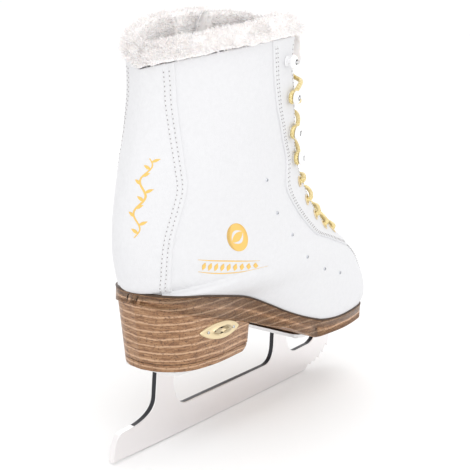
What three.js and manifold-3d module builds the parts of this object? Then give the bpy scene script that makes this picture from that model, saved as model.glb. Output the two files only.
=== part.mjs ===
// A right-foot figure skate, size 240: a laced boot with a fur collar, a stacked heel and
// sole, and a screwed-on blade with a toe pick. Millimetres, +X to the toe, +Y to the
// skater's left (the inner side of the foot), +Z up. The blade's rest facet is at z = 0.

import * as THREE from 'three';
import { mergeVertices } from 'three/addons/utils/BufferGeometryUtils.js';
import Module from 'manifold-3d';

const wasm = await Module();
wasm.setup();

// ---------------------------------------------------------------- driving dimensions

const CLEARANCE = 0.3;

// sole and last
const SOLE_LENGTH = 254;
const BALL_WIDTH = 86;
const HEEL_SEAT_HEIGHT = 110;
const BALL_SEAT_HEIGHT = 60;
const SHAFT_HEIGHT = 139;
const TOE_SWING = 5;
const COLLAR_ARCH = 10;

// blade
const BLADE_THICKNESS = 4;
const RUNNER_HEIGHT = 20.4;
const ROCKER_RADIUS = 5000;
const REST_FACET = 40;
const BLADE_TAIL_X = -19;
const BLADE_TOE_X = 252;
const REAR_STANCHION_X = 34;
const REAR_STANCHION_WIDTH = 19;
const FRONT_STANCHION_X = 177.5;
const FRONT_STANCHION_WIDTH = 17.6;
const TOE_STANCHION_X = 241;
const PICK_TEETH = 5;
const PICK_DEPTH = 2.2;

// plates and screws
const PLATE_THICKNESS = 2.4;
const SOLE_PLATE_START = 158;
const SOLE_PLATE_LENGTH = 89;
const SOLE_PLATE_HALF_WIDTH = 30;
const HEEL_PLATE_START = 17;
const HEEL_PLATE_LENGTH = 56;
const HEEL_PLATE_HALF_WIDTH = 23;
const SCREW_SHANK_RADIUS = 2;
const SCREW_HEAD_RADIUS = 4;
const SCREW_HEAD_HEIGHT = 2;
const SOLE_SCREW_LENGTH = 7.5;
const HEEL_SCREW_LENGTH = 14;

// heel, sole and insole layers
const HEEL_BOTTOM_HEIGHT = 56;
const TOP_LIFT_THICKNESS = 5;
const HEEL_BREAST_X = 89.5;
const HEEL_REAR_TAPER = 10;
const HEEL_BREAST_ROUND = 8;
const HEEL_SIDE_TAPER = 2.5;
const SOLE_BOTTOM_HEIGHT = 49;
const WELT_THICKNESS = 2.6;
const WELT_EDGE = 0.8;
const INSOLE_BOARD_THICKNESS = 2.6;
const INSOLE_BOARD_INSET = 8.5;
const FOOTBED_THICKNESS = 4;
const FOOTBED_INSET = 10;
const SHANK_WIDTH = 12;
const SHANK_THICKNESS = 1.4;
const SHANK_START = 40;
const SHANK_END = 148;

// upper
const LEATHER = 2;
const OVERLAY = 1.2;
const STIFFENER = 1.5;
const LINING = 2.5;
const LACE_DIAMETER = 2.8;
const EYELET_BORE_RADIUS = 2.2;
const EYELET_WALL = 0.3;
const EYELET_FLANGE_RADIUS = 4;
const HOOK_NECK_RADIUS = 1.3;
const HOOK_FLANGE_RADIUS = 3.6;
const HOOK_CAP_RADIUS = 4.4;
const HOOK_CAP_HEIGHT = 2.4;
const EDGE_TO_HOLE = 11;
const FLANGE_STAND = 0.5;
const FLANGE = 0.6;
const ROUND = 8;
const TONGUE_LEATHER = 1.6;
const TONGUE_PAD = 5;
const FUR_INSIDE_T = 0.2;
const FUR_CREST = 13.2;
const FUR_BULGE = 6;
const FUR_END_HALF = 34;
const FUR_DROP = 17;
const FUR_DROP_START = 0.02;
const TONGUE_FACE = -0.8;
const TONGUE_WING = 20;
const TONGUE_ABOVE = 12;
const TONGUE_ROWS = 16;
const PAD_REACH = 0.88;

// badge on the heel
const BADGE_X = 53;
const BADGE_Z = 79;
const BADGE_TILT = -5;
const BADGE_LENGTH = 43;
const BADGE_HEIGHT = 11;
const BADGE_THICKNESS = 0.8;
const RIVET_RADIUS = 1.1;

const ORIGIN_X = 117;

const WHITE_LEATHER = { color: 0xf3f3f5, roughness: 0.5, metalness: 0 };
const FUR = { color: 0xefe9e6, roughness: 1, metalness: 0 };
const STACKED_BROWN = { color: 0x86602f, roughness: 0.6, metalness: 0 };
const DARK_BROWN = { color: 0x4a2f1a, roughness: 0.6, metalness: 0 };
const STEEL = { color: 0xdedbdc, roughness: 0.28, metalness: 1 };
const ZINC = { color: 0xb9b9bb, roughness: 0.35, metalness: 1 };
const GLOSS_WHITE = { color: 0xfafafa, roughness: 0.2, metalness: 0 };
const GOLD_THREAD = { color: 0xd9b45a, roughness: 0.45, metalness: 0.4 };
const PALE_GOLD = { color: 0xd8c193, roughness: 0.3, metalness: 0.9 };
const BOARD = { color: 0xb59b78, roughness: 0.8, metalness: 0 };
const FELT = { color: 0xe6e2dd, roughness: 0.95, metalness: 0 };

// ---------------------------------------------------------------- curves and grading

// A smooth curve through (xs, ys) that never overshoots between its points.
function steady(xs, ys) {
  const n = xs.length;
  const h = [];
  const d = [];
  for (let i = 0; i < n - 1; i += 1) {
    h.push(xs[i + 1] - xs[i]);
    d.push((ys[i + 1] - ys[i]) / h[i]);
  }
  const m = new Array(n).fill(0);
  m[0] = d[0];
  m[n - 1] = d[n - 2];
  for (let i = 1; i < n - 1; i += 1) {
    if (d[i - 1] * d[i] > 0) {
      const w1 = 2 * h[i] + h[i - 1];
      const w2 = h[i] + 2 * h[i - 1];
      m[i] = (w1 + w2) / (w1 / d[i - 1] + w2 / d[i]);
    }
  }
  return hermite(xs, ys, m);
}

// A rounder curve through (xs, ys), for silhouettes that swing both ways.
function flowing(xs, ys) {
  const n = xs.length;
  const m = [];
  for (let i = 0; i < n; i += 1) {
    const a = Math.max(0, i - 1);
    const b = Math.min(n - 1, i + 1);
    m.push((ys[b] - ys[a]) / (xs[b] - xs[a]));
  }
  return hermite(xs, ys, m);
}

function hermite(xs, ys, m) {
  return (at) => {
    const x = Math.min(Math.max(at, xs[0]), xs[xs.length - 1]);
    let i = 0;
    while (i < xs.length - 2 && x > xs[i + 1]) i += 1;
    const h = xs[i + 1] - xs[i];
    const s = (x - xs[i]) / h;
    const s2 = s * s;
    const s3 = s2 * s;
    return (2 * s3 - 3 * s2 + 1) * ys[i] + (s3 - 2 * s2 + s) * h * m[i]
      + (3 * s2 - 2 * s3) * ys[i + 1] + (s3 - s2) * h * m[i + 1];
  };
}

const smooth = (x) => {
  const s = Math.min(Math.max(x, 0), 1);
  return s * s * (3 - 2 * s);
};
const lerp = (a, b, f) => a + (b - a) * f;

// The last is drawn once, on the size-240 last, and graded to the driving dimensions.
const DRAWN = { length: 254, ball: 86, seat: 110, ballSeat: 60, shaft: 139 };
const gradeX = (x) => x * SOLE_LENGTH / DRAWN.length;
const gradeY = (y) => y * BALL_WIDTH / DRAWN.ball;
const gradeZ = (z) => {
  if (z > DRAWN.seat) return HEEL_SEAT_HEIGHT + (z - DRAWN.seat) * SHAFT_HEIGHT / DRAWN.shaft;
  const rise = (HEEL_SEAT_HEIGHT - BALL_SEAT_HEIGHT) / (DRAWN.seat - DRAWN.ballSeat);
  return BALL_SEAT_HEIGHT + (z - DRAWN.ballSeat) * rise;
};

// The sole plate and the blade's front half keep their place under the ball of the foot.
const solePlateStart = gradeX(SOLE_PLATE_START);
const carriedForward = solePlateStart - SOLE_PLATE_START;
const frontStanchionX = FRONT_STANCHION_X + carriedForward;
const toeStanchionX = TOE_STANCHION_X + carriedForward;
const bladeToeX = BLADE_TOE_X + carriedForward;

// Feather line: where the upper meets the sole, as height and as outer and inner half width.
const SEAT = [[0, 110], [25, 107.5], [66, 99.5], [85, 94.5], [112, 83.3], [130, 75],
  [154, 66], [172, 61.3], [190, 60], [254, 60]];
const seatDrawn = steady(SEAT.map((p) => p[0]), SEAT.map((p) => p[1]));
const seatTop = (x) => gradeZ(seatDrawn(x * DRAWN.length / SOLE_LENGTH));
const OUTLINE_X = [0, 3, 9, 17, 28, 50, 86, 120, 165, 200, 225, 240, 249, 253, 254];
const OUTER_HALF = [0, 12.5, 20.5, 26.5, 30, 32, 30.5, 34, 43.5, 47.5, 45.5, 37, 25, 12, 0];
const INNER_HALF = [0, 12.5, 20, 25, 28, 29.5, 27, 29, 36.5, 38.5, 34.5, 27, 18, 9, 0];
const outerDrawn = steady(OUTLINE_X, OUTER_HALF);
const innerDrawn = steady(OUTLINE_X, INNER_HALF);
// half width of the sole at x; side is -1 on the outer side and +1 on the inner side
const outlineHalf = (x, side) => {
  const drawn = x * DRAWN.length / SOLE_LENGTH;
  return gradeY(side < 0 ? outerDrawn(drawn) : innerDrawn(drawn));
};
const swing = (x) => TOE_SWING * smooth((x / SOLE_LENGTH - 0.47) / 0.53);

// Stations of the upper. Each is a cut from the back line (or the feather line) at B to the
// front line at F, with its outer and inner half width, the place of its widest point along
// the cut, and the roundness of its back and front halves.
//  t      Bx    Bz    Fx     Fz     wOut  wIn   wide  back  front
const STATIONS = [
  [0.000, 2.5, 249, 156, 262, 42.5, 42.5, 0.48, 1.75, 2.4],
  [0.120, 4.0, 232, 156, 240, 42, 42, 0.48, 1.75, 2.4],
  [0.250, 1.0, 210, 156, 214, 41, 41, 0.49, 1.75, 2.4],
  [0.370, -4.5, 188, 159, 191, 40, 40, 0.50, 1.8, 2.3],
  [0.480, -9.5, 165, 168.5, 173, 40, 39.5, 0.52, 1.85, 2.2],
  [0.580, -12, 143, 183.5, 156, 40.5, 39, 0.55, 1.9, 2.1],
  [0.660, -8.5, 122, 199, 141, 41.5, 38, 0.58, 2, 2],
  [0.715, 0, 110, 211, 129, 43, 38, 0.60, 2, 2],
  [0.770, 38, 105.5, 223.5, 119, 44.5, 38, 0.62, 2, 2],
  [0.830, 90, 92.7, 237, 110, 45.5, 38, 0.60, 2, 2.1],
  [0.890, 150, 67.4, 248, 103, 47.5, 39, 0.45, 2, 2.2],
  [0.940, 200, 60, 252.5, 92, 48.5, 39, 0.22, 2, 2.3],
  [0.975, 234, 60, 253, 77, 43, 32, 0.08, 2, 2.4],
  [1.000, 254, 60, 254.2, 60.3, 1, 1, 0.05, 2, 2.2],
];
const HEEL_CORNER_T = 0.715;
const HEEL_FOLD_END_T = 0.727;
const BACK_PANEL_END_T = 0.69;
const column = (j) => STATIONS.map((row) => row[j]);
const T = column(0);
const backX = flowing(T, column(1));
const backZ = flowing(T, column(2));
const frontX = flowing(T, column(3));
const frontZ = flowing(T, column(4));
const widthOuter = steady(T, column(5));
const widthInner = steady(T, column(6));
const widest = steady(T, column(7));
const roundBack = steady(T, column(8));
const roundFront = steady(T, column(9));

// Point of the upper's outer surface. s runs round the cut: 0 at the back (or the feather),
// 1 at the front line, negative on the outer side; past 1 it carries on down the other side.
function upperPoint(t, sRaw) {
  let s = sRaw;
  if (s > 1) s -= 2;
  if (s < -1) s += 2;
  const side = s < 0 ? -1 : 1;
  const q = Math.abs(s);
  const x0 = gradeX(backX(t));
  const z0 = t > HEEL_CORNER_T ? seatTop(x0) : gradeZ(backZ(t));
  const feather = t > HEEL_CORNER_T ? outlineHalf(x0, side) : 0;
  const wide = gradeY(side < 0 ? widthOuter(t) : widthInner(t));
  const w = Math.max(wide, feather + 0.01);
  const r = feather / w;
  const a0 = widest(t);
  const c = Math.abs(Math.cos(Math.PI * q));
  let a;
  let y;
  if (q < 0.5) {
    const n = roundBack(t);
    a = a0 * (1 - c ** (2 / n));
    y = w * (1 - (1 - r ** n) * c * c) ** (1 / n);
  } else {
    const n = roundFront(t);
    a = a0 + (1 - a0) * c ** (2 / n);
    y = w * Math.max(0, 1 - c * c) ** (1 / n);
  }
  const x = lerp(x0, gradeX(frontX(t)), a);
  const arch = COLLAR_ARCH * Math.sin(Math.PI * q) * Math.max(0, 1 - t / 0.3) ** 2;
  const z = lerp(z0, gradeZ(frontZ(t)), a) + arch;
  return new THREE.Vector3(x, side * y + swing(x), z);
}

// Outward normal of the upper at (t, s).
function upperNormal(tRaw, sRaw) {
  const t = Math.min(Math.max(tRaw, 0.002), 0.996);
  const open = t > HEEL_CORNER_T - 0.004;
  const q = Math.abs(sRaw);
  const side = sRaw < 0 ? -1 : 1;
  const s = open ? side * Math.max(q, 0.006) : sRaw;
  const step = 0.005;
  const ds = upperPoint(t, s + step).sub(upperPoint(t, s - step));
  const dt = upperPoint(t + 0.002, s).sub(upperPoint(t - 0.002, s));
  return ds.cross(dt).normalize();
}

// Point at a height n above (below, if negative) the upper's outer surface.
function upperAt(t, s, n) {
  const p = upperPoint(t, s).addScaledVector(upperNormal(t, s), n);
  const floor = seatTop(p.x) + 0.15 - 0.4 * Math.min(0, n);
  if (t > 0.6 && p.z < floor) p.z = floor;
  return p;
}

// s of the point at half width y on the front half of the cut at t.
function sAtHalfWidth(t, y, side) {
  const w = gradeY(side < 0 ? widthOuter(t) : widthInner(t));
  const n = roundFront(t);
  const c = Math.sqrt(Math.max(0, 1 - Math.min(1, y / w) ** n));
  return 1 - Math.acos(c) / Math.PI;
}

// Millimetres on the surface for one unit of s.
function spanOfS(t, s) {
  return upperPoint(t, s + 0.004).distanceTo(upperPoint(t, s - 0.004)) / 0.008;
}

// Edge lines of the panels, as |s| against t.
const THROAT_T = 0.805;
const THROAT = [[0, 39.5], [0.07, 39.5], [0.18, 37], [0.3, 33.5], [0.41, 29.5], [0.52, 28.5],
  [0.6, 28.5], [0.67, 27.5], [0.72, 25.5], [0.76, 21.5], [0.785, 15], [0.8, 6], [THROAT_T, 0]];
const throatDrawn = steady(THROAT.map((p) => p[0]), THROAT.map((p) => p[1]));
const throatHalf = (t) => gradeY(throatDrawn(t));
const throatS = (t, side) => (t >= THROAT_T ? 1 : sAtHalfWidth(t, throatHalf(t), side));
const BACK_SEAM = [[0, 0.152], [0.12, 0.159], [0.25, 0.188], [0.36, 0.221], [0.43, 0.235],
  [0.5, 0.221], [0.57, 0.2], [0.62, 0.186], [0.69, 0.163], [HEEL_CORNER_T, 0]];
const backSeam = steady(BACK_SEAM.map((p) => p[0]), BACK_SEAM.map((p) => p[1]));
const FACING_SEAM = [[0, 0.515], [0.1, 0.525], [0.2, 0.549], [0.3, 0.59], [0.4, 0.63],
  [0.52, 0.6], [0.66, 0.625], [0.76, 0.66], [0.83, 0.70]];
const facingSeam = steady(FACING_SEAM.map((p) => p[0]), FACING_SEAM.map((p) => p[1]));
const FACING_END_T = 0.83;
const LINING_CLOSE_T = 0.86;
const TONGUE_BASE_T = 0.86;
const UPPER_END_T = 0.998;
const HOOK_T = [0.068, 0.18, 0.3, 0.41];
const EYELET_T = [0.515, 0.597, 0.665, 0.717, 0.762];
const HOOK_APPROACH = 0.022;
const VAMP_SEAM = [[0.76, 0.66], [FACING_END_T, 0.70], [0.9, 0.72], [1, 0.74]];
const vampSeam = steady(VAMP_SEAM.map((p) => p[0]), VAMP_SEAM.map((p) => p[1]));

// ---------------------------------------------------------------- solids

function material(finish) {
  return new THREE.MeshStandardMaterial(finish);
}

const skate = new THREE.Group();
skate.position.set(-ORIGIN_X, 0, 0);

function addPiece(name, geometry, finish) {
  const mesh = new THREE.Mesh(geometry, material(finish));
  mesh.name = name;
  skate.add(mesh);
  return mesh;
}

function signedVolume(points, faces) {
  let six = 0;
  for (const [a, b, c] of faces) {
    six += points[a].dot(points[b].clone().cross(points[c]));
  }
  return six / 6;
}

function closedGeometry(points, faces) {
  const turned = signedVolume(points, faces) < 0;
  const geometry = new THREE.BufferGeometry();
  geometry.setAttribute('position', new THREE.Float32BufferAttribute(
    points.flatMap((p) => [p.x, p.y, p.z]), 3));
  geometry.setIndex(faces.flatMap(([a, b, c]) => (turned ? [a, c, b] : [a, b, c])));
  return geometry;
}

// Joins polygons, whose corners are pairs of an outer and an inner point, into one closed
// wall: the outer faces, the inner faces, and a rim along every edge that only one side has.
function wall(polygons) {
  const index = new Map();
  const outer = [];
  const inner = [];
  const idOf = ([o, i]) => {
    const key = [o.x, o.y, o.z].map((v) => (v + 500).toFixed(3)).join(',');
    if (!index.has(key)) {
      index.set(key, outer.length);
      outer.push(o);
      inner.push(i);
    }
    return index.get(key);
  };
  const tris = [];
  for (const polygon of polygons) {
    const ids = polygon.map(idOf).filter((id, k, all) => id !== all[(k + 1) % all.length]);
    for (let k = 1; k < ids.length - 1; k += 1) {
      if (ids[0] !== ids[k + 1]) tris.push([ids[0], ids[k], ids[k + 1]]);
    }
  }
  const count = outer.length;
  const edges = new Set(tris.flatMap(([a, b, c]) => [`${a}_${b}`, `${b}_${c}`, `${c}_${a}`]));
  const faces = [];
  for (const [a, b, c] of tris) {
    faces.push([a, b, c], [a + count, c + count, b + count]);
    for (const [p, q] of [[a, b], [b, c], [c, a]]) {
      if (!edges.has(`${q}_${p}`)) faces.push([q, p, p + count], [q, p + count, q + count]);
    }
  }
  return closedGeometry([...outer, ...inner], faces);
}

// Quads of a patch: pair(u, v) gives the outer and inner point, u and v from 0 to 1.
function patch(rows, cols, pair) {
  const grid = [];
  for (let i = 0; i <= rows; i += 1) {
    const line = [];
    for (let j = 0; j <= cols; j += 1) line.push(pair(i / rows, j / cols));
    grid.push(line);
  }
  const quads = [];
  for (let i = 0; i < rows; i += 1) {
    for (let j = 0; j < cols; j += 1) {
      quads.push([grid[i][j], grid[i + 1][j], grid[i + 1][j + 1], grid[i][j + 1]]);
    }
  }
  return quads;
}

// The grid of facets that every layer of the upper shares, so that they all run parallel.
const GRID_T = [0, 0.004, 0.045, 0.09, 0.14, 0.2, 0.26, 0.32, 0.38, 0.43, 0.48, 0.51, 0.55,
  0.6, 0.65, 0.69, HEEL_CORNER_T, HEEL_FOLD_END_T, 0.755, 0.785, THROAT_T, FACING_END_T,
  0.86, 0.89, 0.92, 0.945, 0.965, 0.985, UPPER_END_T];
const GRID_Q = [0, 0.06, 0.13, 0.21, 0.3, 0.4, 0.5, 0.6, 0.69, 0.76, 0.82, 0.88, 0.94, 1];

// Keeps the part of a polygon where the limit is not negative.
function clip(polygon, limit) {
  const kept = [];
  polygon.forEach((a, k) => {
    const b = polygon[(k + 1) % polygon.length];
    const la = limit(a);
    const lb = limit(b);
    if (la >= 0) kept.push(a);
    if ((la > 0 && lb < 0) || (la < 0 && lb > 0)) {
      const [p, r, lp, lr] = la > 0 ? [a, b, la, lb] : [b, a, lb, la];
      const f = lp / (lp - lr);
      kept.push({
        t: lerp(p.t, r.t, f),
        q: lerp(p.q, r.q, f),
        outer: p.outer.clone().lerp(r.outer, f),
        inner: p.inner.clone().lerp(r.inner, f),
      });
    }
  });
  return kept;
}

// Facets of a panel of the upper on one side, between two values of t and two lines of |s|.
function panel(side, t0, t1, qFrom, qTo, outerN, innerN) {
  const corner = (t, q) => {
    let s = side * q;
    if (q === 1 || (q === 0 && t <= HEEL_CORNER_T)) s = q;
    if (q === 0 && t > HEEL_CORNER_T) s = side * 1e-6;
    return { t, q, outer: upperAt(t, s, outerN), inner: upperAt(t, s, innerN) };
  };
  const faces = [];
  for (let i = 0; i < GRID_T.length - 1; i += 1) {
    const ta = GRID_T[i];
    const tb = GRID_T[i + 1];
    const along = (line, t) => lerp(line(ta), line(tb), (t - ta) / (tb - ta));
    const limits = [(p) => p.t - t0, (p) => t1 - p.t, (p) => p.q - along(qFrom, p.t),
      (p) => along(qTo, p.t) - p.q];
    for (let j = 0; j < GRID_Q.length - 1 && tb > t0 && ta < t1; j += 1) {
      const [qa, qb] = [GRID_Q[j], GRID_Q[j + 1]];
      const [a, b] = [corner(ta, qa), corner(tb, qa)];
      const [c, d] = [corner(tb, qb), corner(ta, qb)];
      for (const triangle of [[a, b, c], [a, c, d]]) {
        const kept = limits.reduce(clip, triangle);
        const face = kept.map((p) => [p.outer, p.inner]);
        if (face.length > 2) faces.push(side > 0 ? face.reverse() : face);
      }
    }
  }
  return faces;
}

// A slab between a top and a bottom surface, both given at (u along, v across).
function slab(rows, cols, top, bottom) {
  return wall(patch(rows, cols, (u, v) => [top(u, v), bottom(u, v)]));
}

// Stations along a length, closer together at its two ends.
const easeEnds = (u) => 0.5 - 0.5 * Math.cos(Math.PI * u);

// A layer under or over the foot: outline set in or out by inset, heights given against x.
function solePlate(inset, topOf, bottomOf, rows = 26, cols = 6) {
  const x0 = inset;
  const x1 = SOLE_LENGTH - inset;
  const at = (u, v, heightOf) => {
    const x = lerp(x0, x1, easeEnds(u));
    const drawn = (x - x0) / (x1 - x0) * SOLE_LENGTH;
    const yOuter = -Math.max(0, outlineHalf(drawn, -1) - inset * smooth(drawn / 12));
    const yInner = Math.max(0, outlineHalf(drawn, 1) - inset * smooth(drawn / 12));
    const ends = u === 0 || u === 1;
    const y = ends ? 0 : lerp(yOuter, yInner, v);
    return new THREE.Vector3(x, y + swing(x), heightOf(x));
  };
  return slab(rows, cols, (u, v) => at(u, v, topOf), (u, v) => at(u, v, bottomOf));
}

function toManifold(geometry) {
  const bare = geometry.clone();
  bare.deleteAttribute('normal');
  bare.deleteAttribute('uv');
  const merged = mergeVertices(bare, 1e-4);
  return new wasm.Manifold(new wasm.Mesh({
    numProp: 3,
    vertProperties: Float32Array.from(merged.attributes.position.array),
    triVerts: Uint32Array.from(merged.index.array),
  }));
}

function fromManifold(solid) {
  const mesh = solid.getMesh();
  const geometry = new THREE.BufferGeometry();
  const places = Float32Array.from(mesh.vertProperties);
  geometry.setAttribute('position', new THREE.BufferAttribute(places, 3));
  geometry.setIndex(Array.from(mesh.triVerts));
  return geometry;
}

function cut(geometry, cutters) {
  let solid = toManifold(geometry);
  for (const cutter of cutters) solid = solid.subtract(toManifold(cutter));
  return fromManifold(solid);
}

// A turned solid from (radius, height) pairs, standing on base and pointing along axis.
function turned(profile, segments, base, axis) {
  const points = profile.map(([r, h]) => new THREE.Vector2(r, h));
  const geometry = new THREE.LatheGeometry(points, segments);
  const turn = new THREE.Quaternion().setFromUnitVectors(new THREE.Vector3(0, 1, 0), axis);
  geometry.applyMatrix4(new THREE.Matrix4().compose(base, turn, new THREE.Vector3(1, 1, 1)));
  return geometry;
}

const UP = new THREE.Vector3(0, 0, 1);

// ---------------------------------------------------------------- blade

// height of the rockered edge: a flat facet in the middle, an arc towards both ends
const rockerMid = ORIGIN_X;
const rocker = (x) => {
  const off = Math.max(0, Math.abs(x - rockerMid) - REST_FACET / 2);
  return off * off / (2 * ROCKER_RADIUS);
};

const heelPlateTop = HEEL_BOTTOM_HEIGHT - CLEARANCE;
const heelPlateBottom = heelPlateTop - PLATE_THICKNESS;
const solePlateTop = SOLE_BOTTOM_HEIGHT - CLEARANCE;
const solePlateBottom = solePlateTop - PLATE_THICKNESS;

function bladeOutline() {
  const rearBack = REAR_STANCHION_X - REAR_STANCHION_WIDTH / 2;
  const rearFront = REAR_STANCHION_X + REAR_STANCHION_WIDTH / 2;
  const frontBack = frontStanchionX - FRONT_STANCHION_WIDTH / 2;
  const frontFront = frontStanchionX + FRONT_STANCHION_WIDTH / 2;
  const rearTop = heelPlateBottom - CLEARANCE;
  const frontTop = solePlateBottom - CLEARANCE;
  const top = RUNNER_HEIGHT;
  const shape = new THREE.Shape();
  shape.moveTo(BLADE_TAIL_X, rocker(BLADE_TAIL_X));
  shape.lineTo(BLADE_TAIL_X + 1.2, 11);
  shape.quadraticCurveTo(BLADE_TAIL_X + 2.5, top - 1.6, BLADE_TAIL_X + 10, top - 1.2);
  shape.quadraticCurveTo(rearBack - 1.5, top - 0.6, rearBack - 0.8, top + 13);
  shape.lineTo(rearBack, rearTop);
  shape.lineTo(rearFront, rearTop);
  shape.lineTo(rearFront, top + 19);
  shape.quadraticCurveTo(rearFront + 2, top + 0.8, rearFront + 15, top);
  shape.lineTo(frontBack - 13, top - 0.4);
  shape.quadraticCurveTo(frontBack - 0.6, top - 0.6, frontBack, top + 12);
  shape.lineTo(frontBack, frontTop);
  shape.lineTo(frontFront, frontTop);
  shape.lineTo(frontFront + 0.4, top + 16);
  shape.quadraticCurveTo(frontFront + 3, top + 1.5, frontFront + 15, top + 0.4);
  shape.lineTo(toeStanchionX - 21, top + 0.8);
  shape.quadraticCurveTo(toeStanchionX - 10, top + 2.4, toeStanchionX - 9.6, top + 12);
  shape.lineTo(toeStanchionX - 12, frontTop);
  shape.lineTo(toeStanchionX + 9, frontTop);
  shape.quadraticCurveTo(bladeToeX + 3, top + 8, bladeToeX, top - 3.5);
  // toe rake: teeth down to the drag pick, then the edge
  const rakeTop = [bladeToeX - 0.5, top - 8.4];
  const rakeEnd = [bladeToeX - 26, rocker(bladeToeX - 26) + 1.6];
  for (let k = 0; k < PICK_TEETH; k += 1) {
    const f = k / (PICK_TEETH - 1);
    const droop = 2.6 * Math.sin(Math.PI * f);
    const x = lerp(rakeTop[0], rakeEnd[0], f);
    const z = lerp(rakeTop[1], rakeEnd[1], f) - droop + 0.6;
    shape.lineTo(x, z);
    shape.lineTo(x - 3.4, z + PICK_DEPTH - f);
  }
  const edgeStart = bladeToeX - 33;
  const facetFront = rockerMid + REST_FACET / 2;
  const facetBack = rockerMid - REST_FACET / 2;
  for (let k = 0; k <= 4; k += 1) {
    const x = lerp(edgeStart, facetFront, k / 4);
    shape.lineTo(x, rocker(x));
  }
  for (let k = 0; k < 6; k += 1) {
    const x = lerp(facetBack, BLADE_TAIL_X, k / 6);
    shape.lineTo(x, rocker(x));
  }
  return shape;
}

// Stands an outline drawn in x and z up across the skate, centred on the blade's plane.
function standing(shape, thickness, curveSegments) {
  const geometry = new THREE.ExtrudeGeometry(shape, {
    depth: thickness, bevelEnabled: false, curveSegments,
  });
  geometry.rotateX(Math.PI / 2);
  geometry.translate(0, thickness / 2, 0);
  return geometry;
}

addPiece('blade', standing(bladeOutline(), BLADE_THICKNESS, 5), STEEL);

// ---------------------------------------------------------------- plates and screws

// A flat plate with round corners, lying between two heights.
function plateGeometry(x0, length, halfStart, halfEnd, bottom, thickness) {
  const r = 9;
  const x1 = x0 + length;
  const shape = new THREE.Shape();
  shape.moveTo(x0 + r, -halfStart);
  shape.lineTo(x1 - r, -halfEnd);
  shape.quadraticCurveTo(x1, -halfEnd, x1, -halfEnd + r);
  shape.lineTo(x1, halfEnd - r);
  shape.quadraticCurveTo(x1, halfEnd, x1 - r, halfEnd);
  shape.lineTo(x0 + r, halfStart);
  shape.quadraticCurveTo(x0, halfStart, x0, halfStart - r);
  shape.lineTo(x0, -halfStart + r);
  shape.quadraticCurveTo(x0, -halfStart, x0 + r, -halfStart);
  const geometry = new THREE.ExtrudeGeometry(shape, {
    depth: thickness, bevelEnabled: false, curveSegments: 4,
  });
  geometry.translate(0, 0, bottom);
  return geometry;
}

const soleToeHalf = SOLE_PLATE_HALF_WIDTH - 9;
const soleScrewX = [8, 38, 74].map((d) => solePlateStart + d);
const soleScrewY = [SOLE_PLATE_HALF_WIDTH - 8, SOLE_PLATE_HALF_WIDTH - 10,
  SOLE_PLATE_HALF_WIDTH - 16.5];
const heelScrewX = [13, HEEL_PLATE_LENGTH - 12].map((d) => HEEL_PLATE_START + d);
const heelScrewY = [HEEL_PLATE_HALF_WIDTH - 8.5, HEEL_PLATE_HALF_WIDTH - 6.5];

function screwHole(x, y, from, to) {
  const r = SCREW_SHANK_RADIUS + CLEARANCE;
  const profile = [[0, 0], [r, 0], [r, to - from], [0, to - from]];
  return turned(profile, ROUND, new THREE.Vector3(x, y, from), UP);
}

// A round-headed screw whose head sits under a plate, its shank reaching up.
function screwGeometry(x, y, plateBottom, length) {
  const head = SCREW_HEAD_HEIGHT;
  const profile = [[0, 0], [SCREW_HEAD_RADIUS * 0.6, 0.15], [SCREW_HEAD_RADIUS, head * 0.6],
    [SCREW_HEAD_RADIUS, head], [SCREW_SHANK_RADIUS, head],
    [SCREW_SHANK_RADIUS, head + length - 2], [0, head + length]];
  const base = new THREE.Vector3(x, y, plateBottom - CLEARANCE - head);
  return turned(profile, ROUND, base, UP);
}

const soleScrews = [];
soleScrewX.forEach((x, i) => {
  for (const side of [-1, 1]) soleScrews.push([x, side * soleScrewY[i]]);
});
const heelScrews = [];
heelScrewX.forEach((x, i) => {
  for (const side of [-1, 1]) heelScrews.push([x, side * heelScrewY[i]]);
});
const soleScrewReach = PLATE_THICKNESS + CLEARANCE + SOLE_SCREW_LENGTH;
const heelScrewReach = PLATE_THICKNESS + CLEARANCE + HEEL_SCREW_LENGTH;

addPiece('sole_plate', cut(
  plateGeometry(solePlateStart, SOLE_PLATE_LENGTH, SOLE_PLATE_HALF_WIDTH, soleToeHalf,
    solePlateBottom, PLATE_THICKNESS),
  soleScrews.map(([x, y]) => screwHole(x, y, solePlateBottom - 1, solePlateTop + 1)),
), STEEL);
addPiece('heel_plate', cut(
  plateGeometry(HEEL_PLATE_START, HEEL_PLATE_LENGTH, HEEL_PLATE_HALF_WIDTH - 1,
    HEEL_PLATE_HALF_WIDTH + 3, heelPlateBottom, PLATE_THICKNESS),
  heelScrews.map(([x, y]) => screwHole(x, y, heelPlateBottom - 1, heelPlateTop + 1)),
), STEEL);
soleScrews.forEach(([x, y], k) => {
  addPiece(`sole_screw_${k + 1}`, screwGeometry(x, y, solePlateBottom, soleScrewReach), ZINC);
});
heelScrews.forEach(([x, y], k) => {
  addPiece(`heel_screw_${k + 1}`, screwGeometry(x, y, heelPlateBottom, heelScrewReach), ZINC);
});

// ---------------------------------------------------------------- sole and heel

const weltTop = (x) => seatTop(x) - CLEARANCE;
const weltBottom = (x) => weltTop(x) - WELT_THICKNESS;
const soleTop = (x) => weltBottom(x) - CLEARANCE;
const SOLE_UNDER = [[0, 101.5], [90, 75.2], [107, 69], [131, 62.3], [149, 54.5], [161, 49.6],
  [169, 49], [236, 49], [246, 49.2], [254, 50.5]];
const underDrawn = steady(SOLE_UNDER.map((p) => p[0]), SOLE_UNDER.map((p) => p[1]));
const soleUnder = (x) => {
  const drawn = underDrawn(x * DRAWN.length / SOLE_LENGTH);
  const f = (drawn - 49) / (101.5 - 49);
  return SOLE_BOTTOM_HEIGHT + f * (HEEL_SEAT_HEIGHT - 8.5 - SOLE_BOTTOM_HEIGHT);
};

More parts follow.
